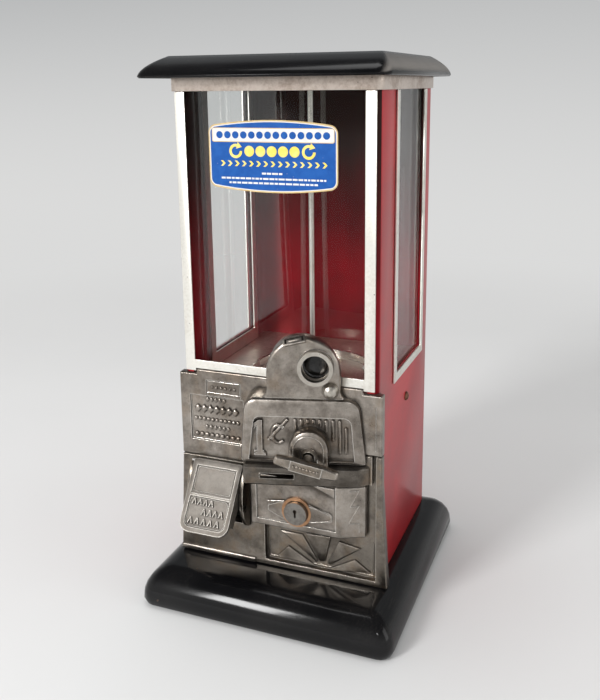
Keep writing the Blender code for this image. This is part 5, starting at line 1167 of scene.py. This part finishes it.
stageLook = {"floor": (0.64, 0.64, 0.637), "low": (0.72, 0.72, 0.715), "high": (0.335, 0.347, 0.355),
             "speckle": (3.0, 3.0, 0.5), "speckLimits": (0.3, 0.7), "speckLift": 1.03, "rough": 0.75,
             "speckRough": 0.1, "half": 3.0, "curve": 1.6, "bend": 0.8, "bendSteps": 12, "sink": 0.0002,
             "fade": (0.45, 1.3), "rise": (-0.2, 1.5)}   # metres from the machine, and above the floor


def makeStage(look):   # a plain floor that bends up behind; far from the machine it glows with painted light, lighter low down and darker higher up
    p = Paint("studioSweep")
    speck = p.noise(*look["speckle"])
    lighter = tuple(c * look["speckLift"] for c in look["floor"])
    p.set(Base_Color=p.blend(speck.step(*look["speckLimits"]), look["floor"], lighter),
          Roughness=look["rough"] + speck * look["speckRough"])
    far = p.add("ShaderNodeVectorMath", {"operation": "LENGTH"}, {0: p.coords}, out=1)
    path = p.add("ShaderNodeLightPath", out="Is Camera Ray")
    seen = path.most(p.other(path, "Is Glossy Ray")).most(p.other(path, "Is Transmission Ray"))
    # painted light: the backdrop's glow fades from light low down to darker higher up
    shade = p.blend(p.height().step(*look["rise"]), look["low"], look["high"])
    glow = p.add("ShaderNodeEmission", {}, {"Color": shade, "Strength": 1.0})
    backdrop = p.add("ShaderNodeMixShader", {}, {0: far.step(*look["fade"]) * seen,
                                                 1: Wire(p, p.shader.outputs[0]), 2: glow})
    p.tree.links.new(backdrop.socket, p.output.inputs["Surface"])
    half, back, bend = look["half"], look["curve"], look["bend"]
    angles = [math.radians(90) * i / look["bendSteps"] for i in range(look["bendSteps"] + 1)]
    line = [(back + math.sin(a) * bend, bend - math.cos(a) * bend) for a in angles]
    line = [(-half, 0.0)] + line + [(back + bend, half)]
    shape = bmesh.new()
    left, right = ([shape.verts.new((x, y, z - look["sink"])) for y, z in line] for x in (-half, half))
    for i in range(len(line) - 1):
        shape.faces.new((left[i], right[i], right[i + 1], left[i + 1]))
    mesh = bpy.data.meshes.new("studioSweep")
    shape.to_mesh(mesh)
    shape.free()
    mesh.materials.append(p.material)
    mesh.shade_smooth()
    sweep = bpy.data.objects.new("studioSweep", mesh)
    bpy.context.scene.collection.objects.link(sweep)


# a lamp is place in m, width and height in m, and watts
lampLook = {"lamps": {"keyBox": ((-0.78, -1.68, 1.02), (0.46, 0.66), 31),
                      "topBox": ((-0.3, 0.2, 1.9), (0.9, 0.5), 5),
                      "sideBox": ((1.8, -0.2, 0.9), (0.8, 1.2), 5),
                      "spark": ((0.5, -1.2, 1.0), (0.06, 0.06), 1.0)},
            "aim": (0, 0, 0.2), "zenith": (0.10, 0.10, 0.105), "horizon": (0.80, 0.80, 0.79),
            "soft": (0.76, 0.76, 0.76), "skyLimits": (0.15, 0.80), "strength": 1.0}


def lightScene(look):
    for name, (place, size, power) in look["lamps"].items():
        data = bpy.data.lights.new(name, "AREA")
        data.shape = "RECTANGLE"
        data.size, data.size_y = size
        data.energy = power
        lamp = bpy.data.objects.new(name, data)
        bpy.context.scene.collection.objects.link(lamp)
        lamp.location = place
        lamp.rotation_euler = (Vector(look["aim"]) - Vector(place)).to_track_quat("-Z", "Y").to_euler()
    world = bpy.data.worlds.new("studio")
    bpy.context.scene.world = world
    world.use_nodes = True
    sky = Graph(world.node_tree)
    height = sky.add("ShaderNodeSeparateXYZ", {}, {0: sky.add("ShaderNodeTexCoord")})
    shade = sky.blend(sky.other(height, "Z").step(*look["skyLimits"]), look["horizon"], look["zenith"])
    shade = sky.blend(sky.add("ShaderNodeLightPath", out="Is Diffuse Ray"), shade, look["soft"])
    background = world.node_tree.nodes["Background"]
    world.node_tree.links.new(shade.socket, background.inputs[0])
    background.inputs[1].default_value = look["strength"]


cameraSettings = {"place": (0.2283, -0.5780, 0.3862), "yaw": 21.33, "pitch": 12.96, "roll": -0.61,
                  "focalPixels": 830.5, "centre": (308.7, 275.7), "image": (600, 700), "sensor": 36.0,
                  "nearest": 0.05}


def placeCamera(look):
    data = bpy.data.cameras.new("photoCamera")
    wide, high = look["image"]
    data.sensor_width = look["sensor"]
    data.lens = look["sensor"] * look["focalPixels"] / max(wide, high)
    data.shift_x = (wide / 2 - look["centre"][0]) / max(wide, high)
    data.shift_y = (look["centre"][1] - high / 2) / max(wide, high)
    data.clip_start = look["nearest"]
    camera = bpy.data.objects.new("photoCamera", data)
    bpy.context.scene.collection.objects.link(camera)
    yaw, pitch, roll = (math.radians(look[key]) for key in ("yaw", "pitch", "roll"))
    ahead = Vector((-math.sin(yaw) * math.cos(pitch), math.cos(yaw) * math.cos(pitch), -math.sin(pitch)))
    right = Vector((math.cos(yaw), math.sin(yaw), 0))
    up = right.cross(ahead)
    tiltedRight = math.cos(roll) * right + math.sin(roll) * up
    tiltedUp = -math.sin(roll) * right + math.cos(roll) * up
    turn = Matrix((tiltedRight, tiltedUp, -ahead)).transposed().to_4x4()
    camera.matrix_world = Matrix.Translation(look["place"]) @ turn
    bpy.context.scene.camera = camera


makeStage(stageLook)
lightScene(lampLook)
placeCamera(cameraSettings)
bpy.context.scene.view_settings.view_transform = "Standard"
print("stage, lamps and camera placed")
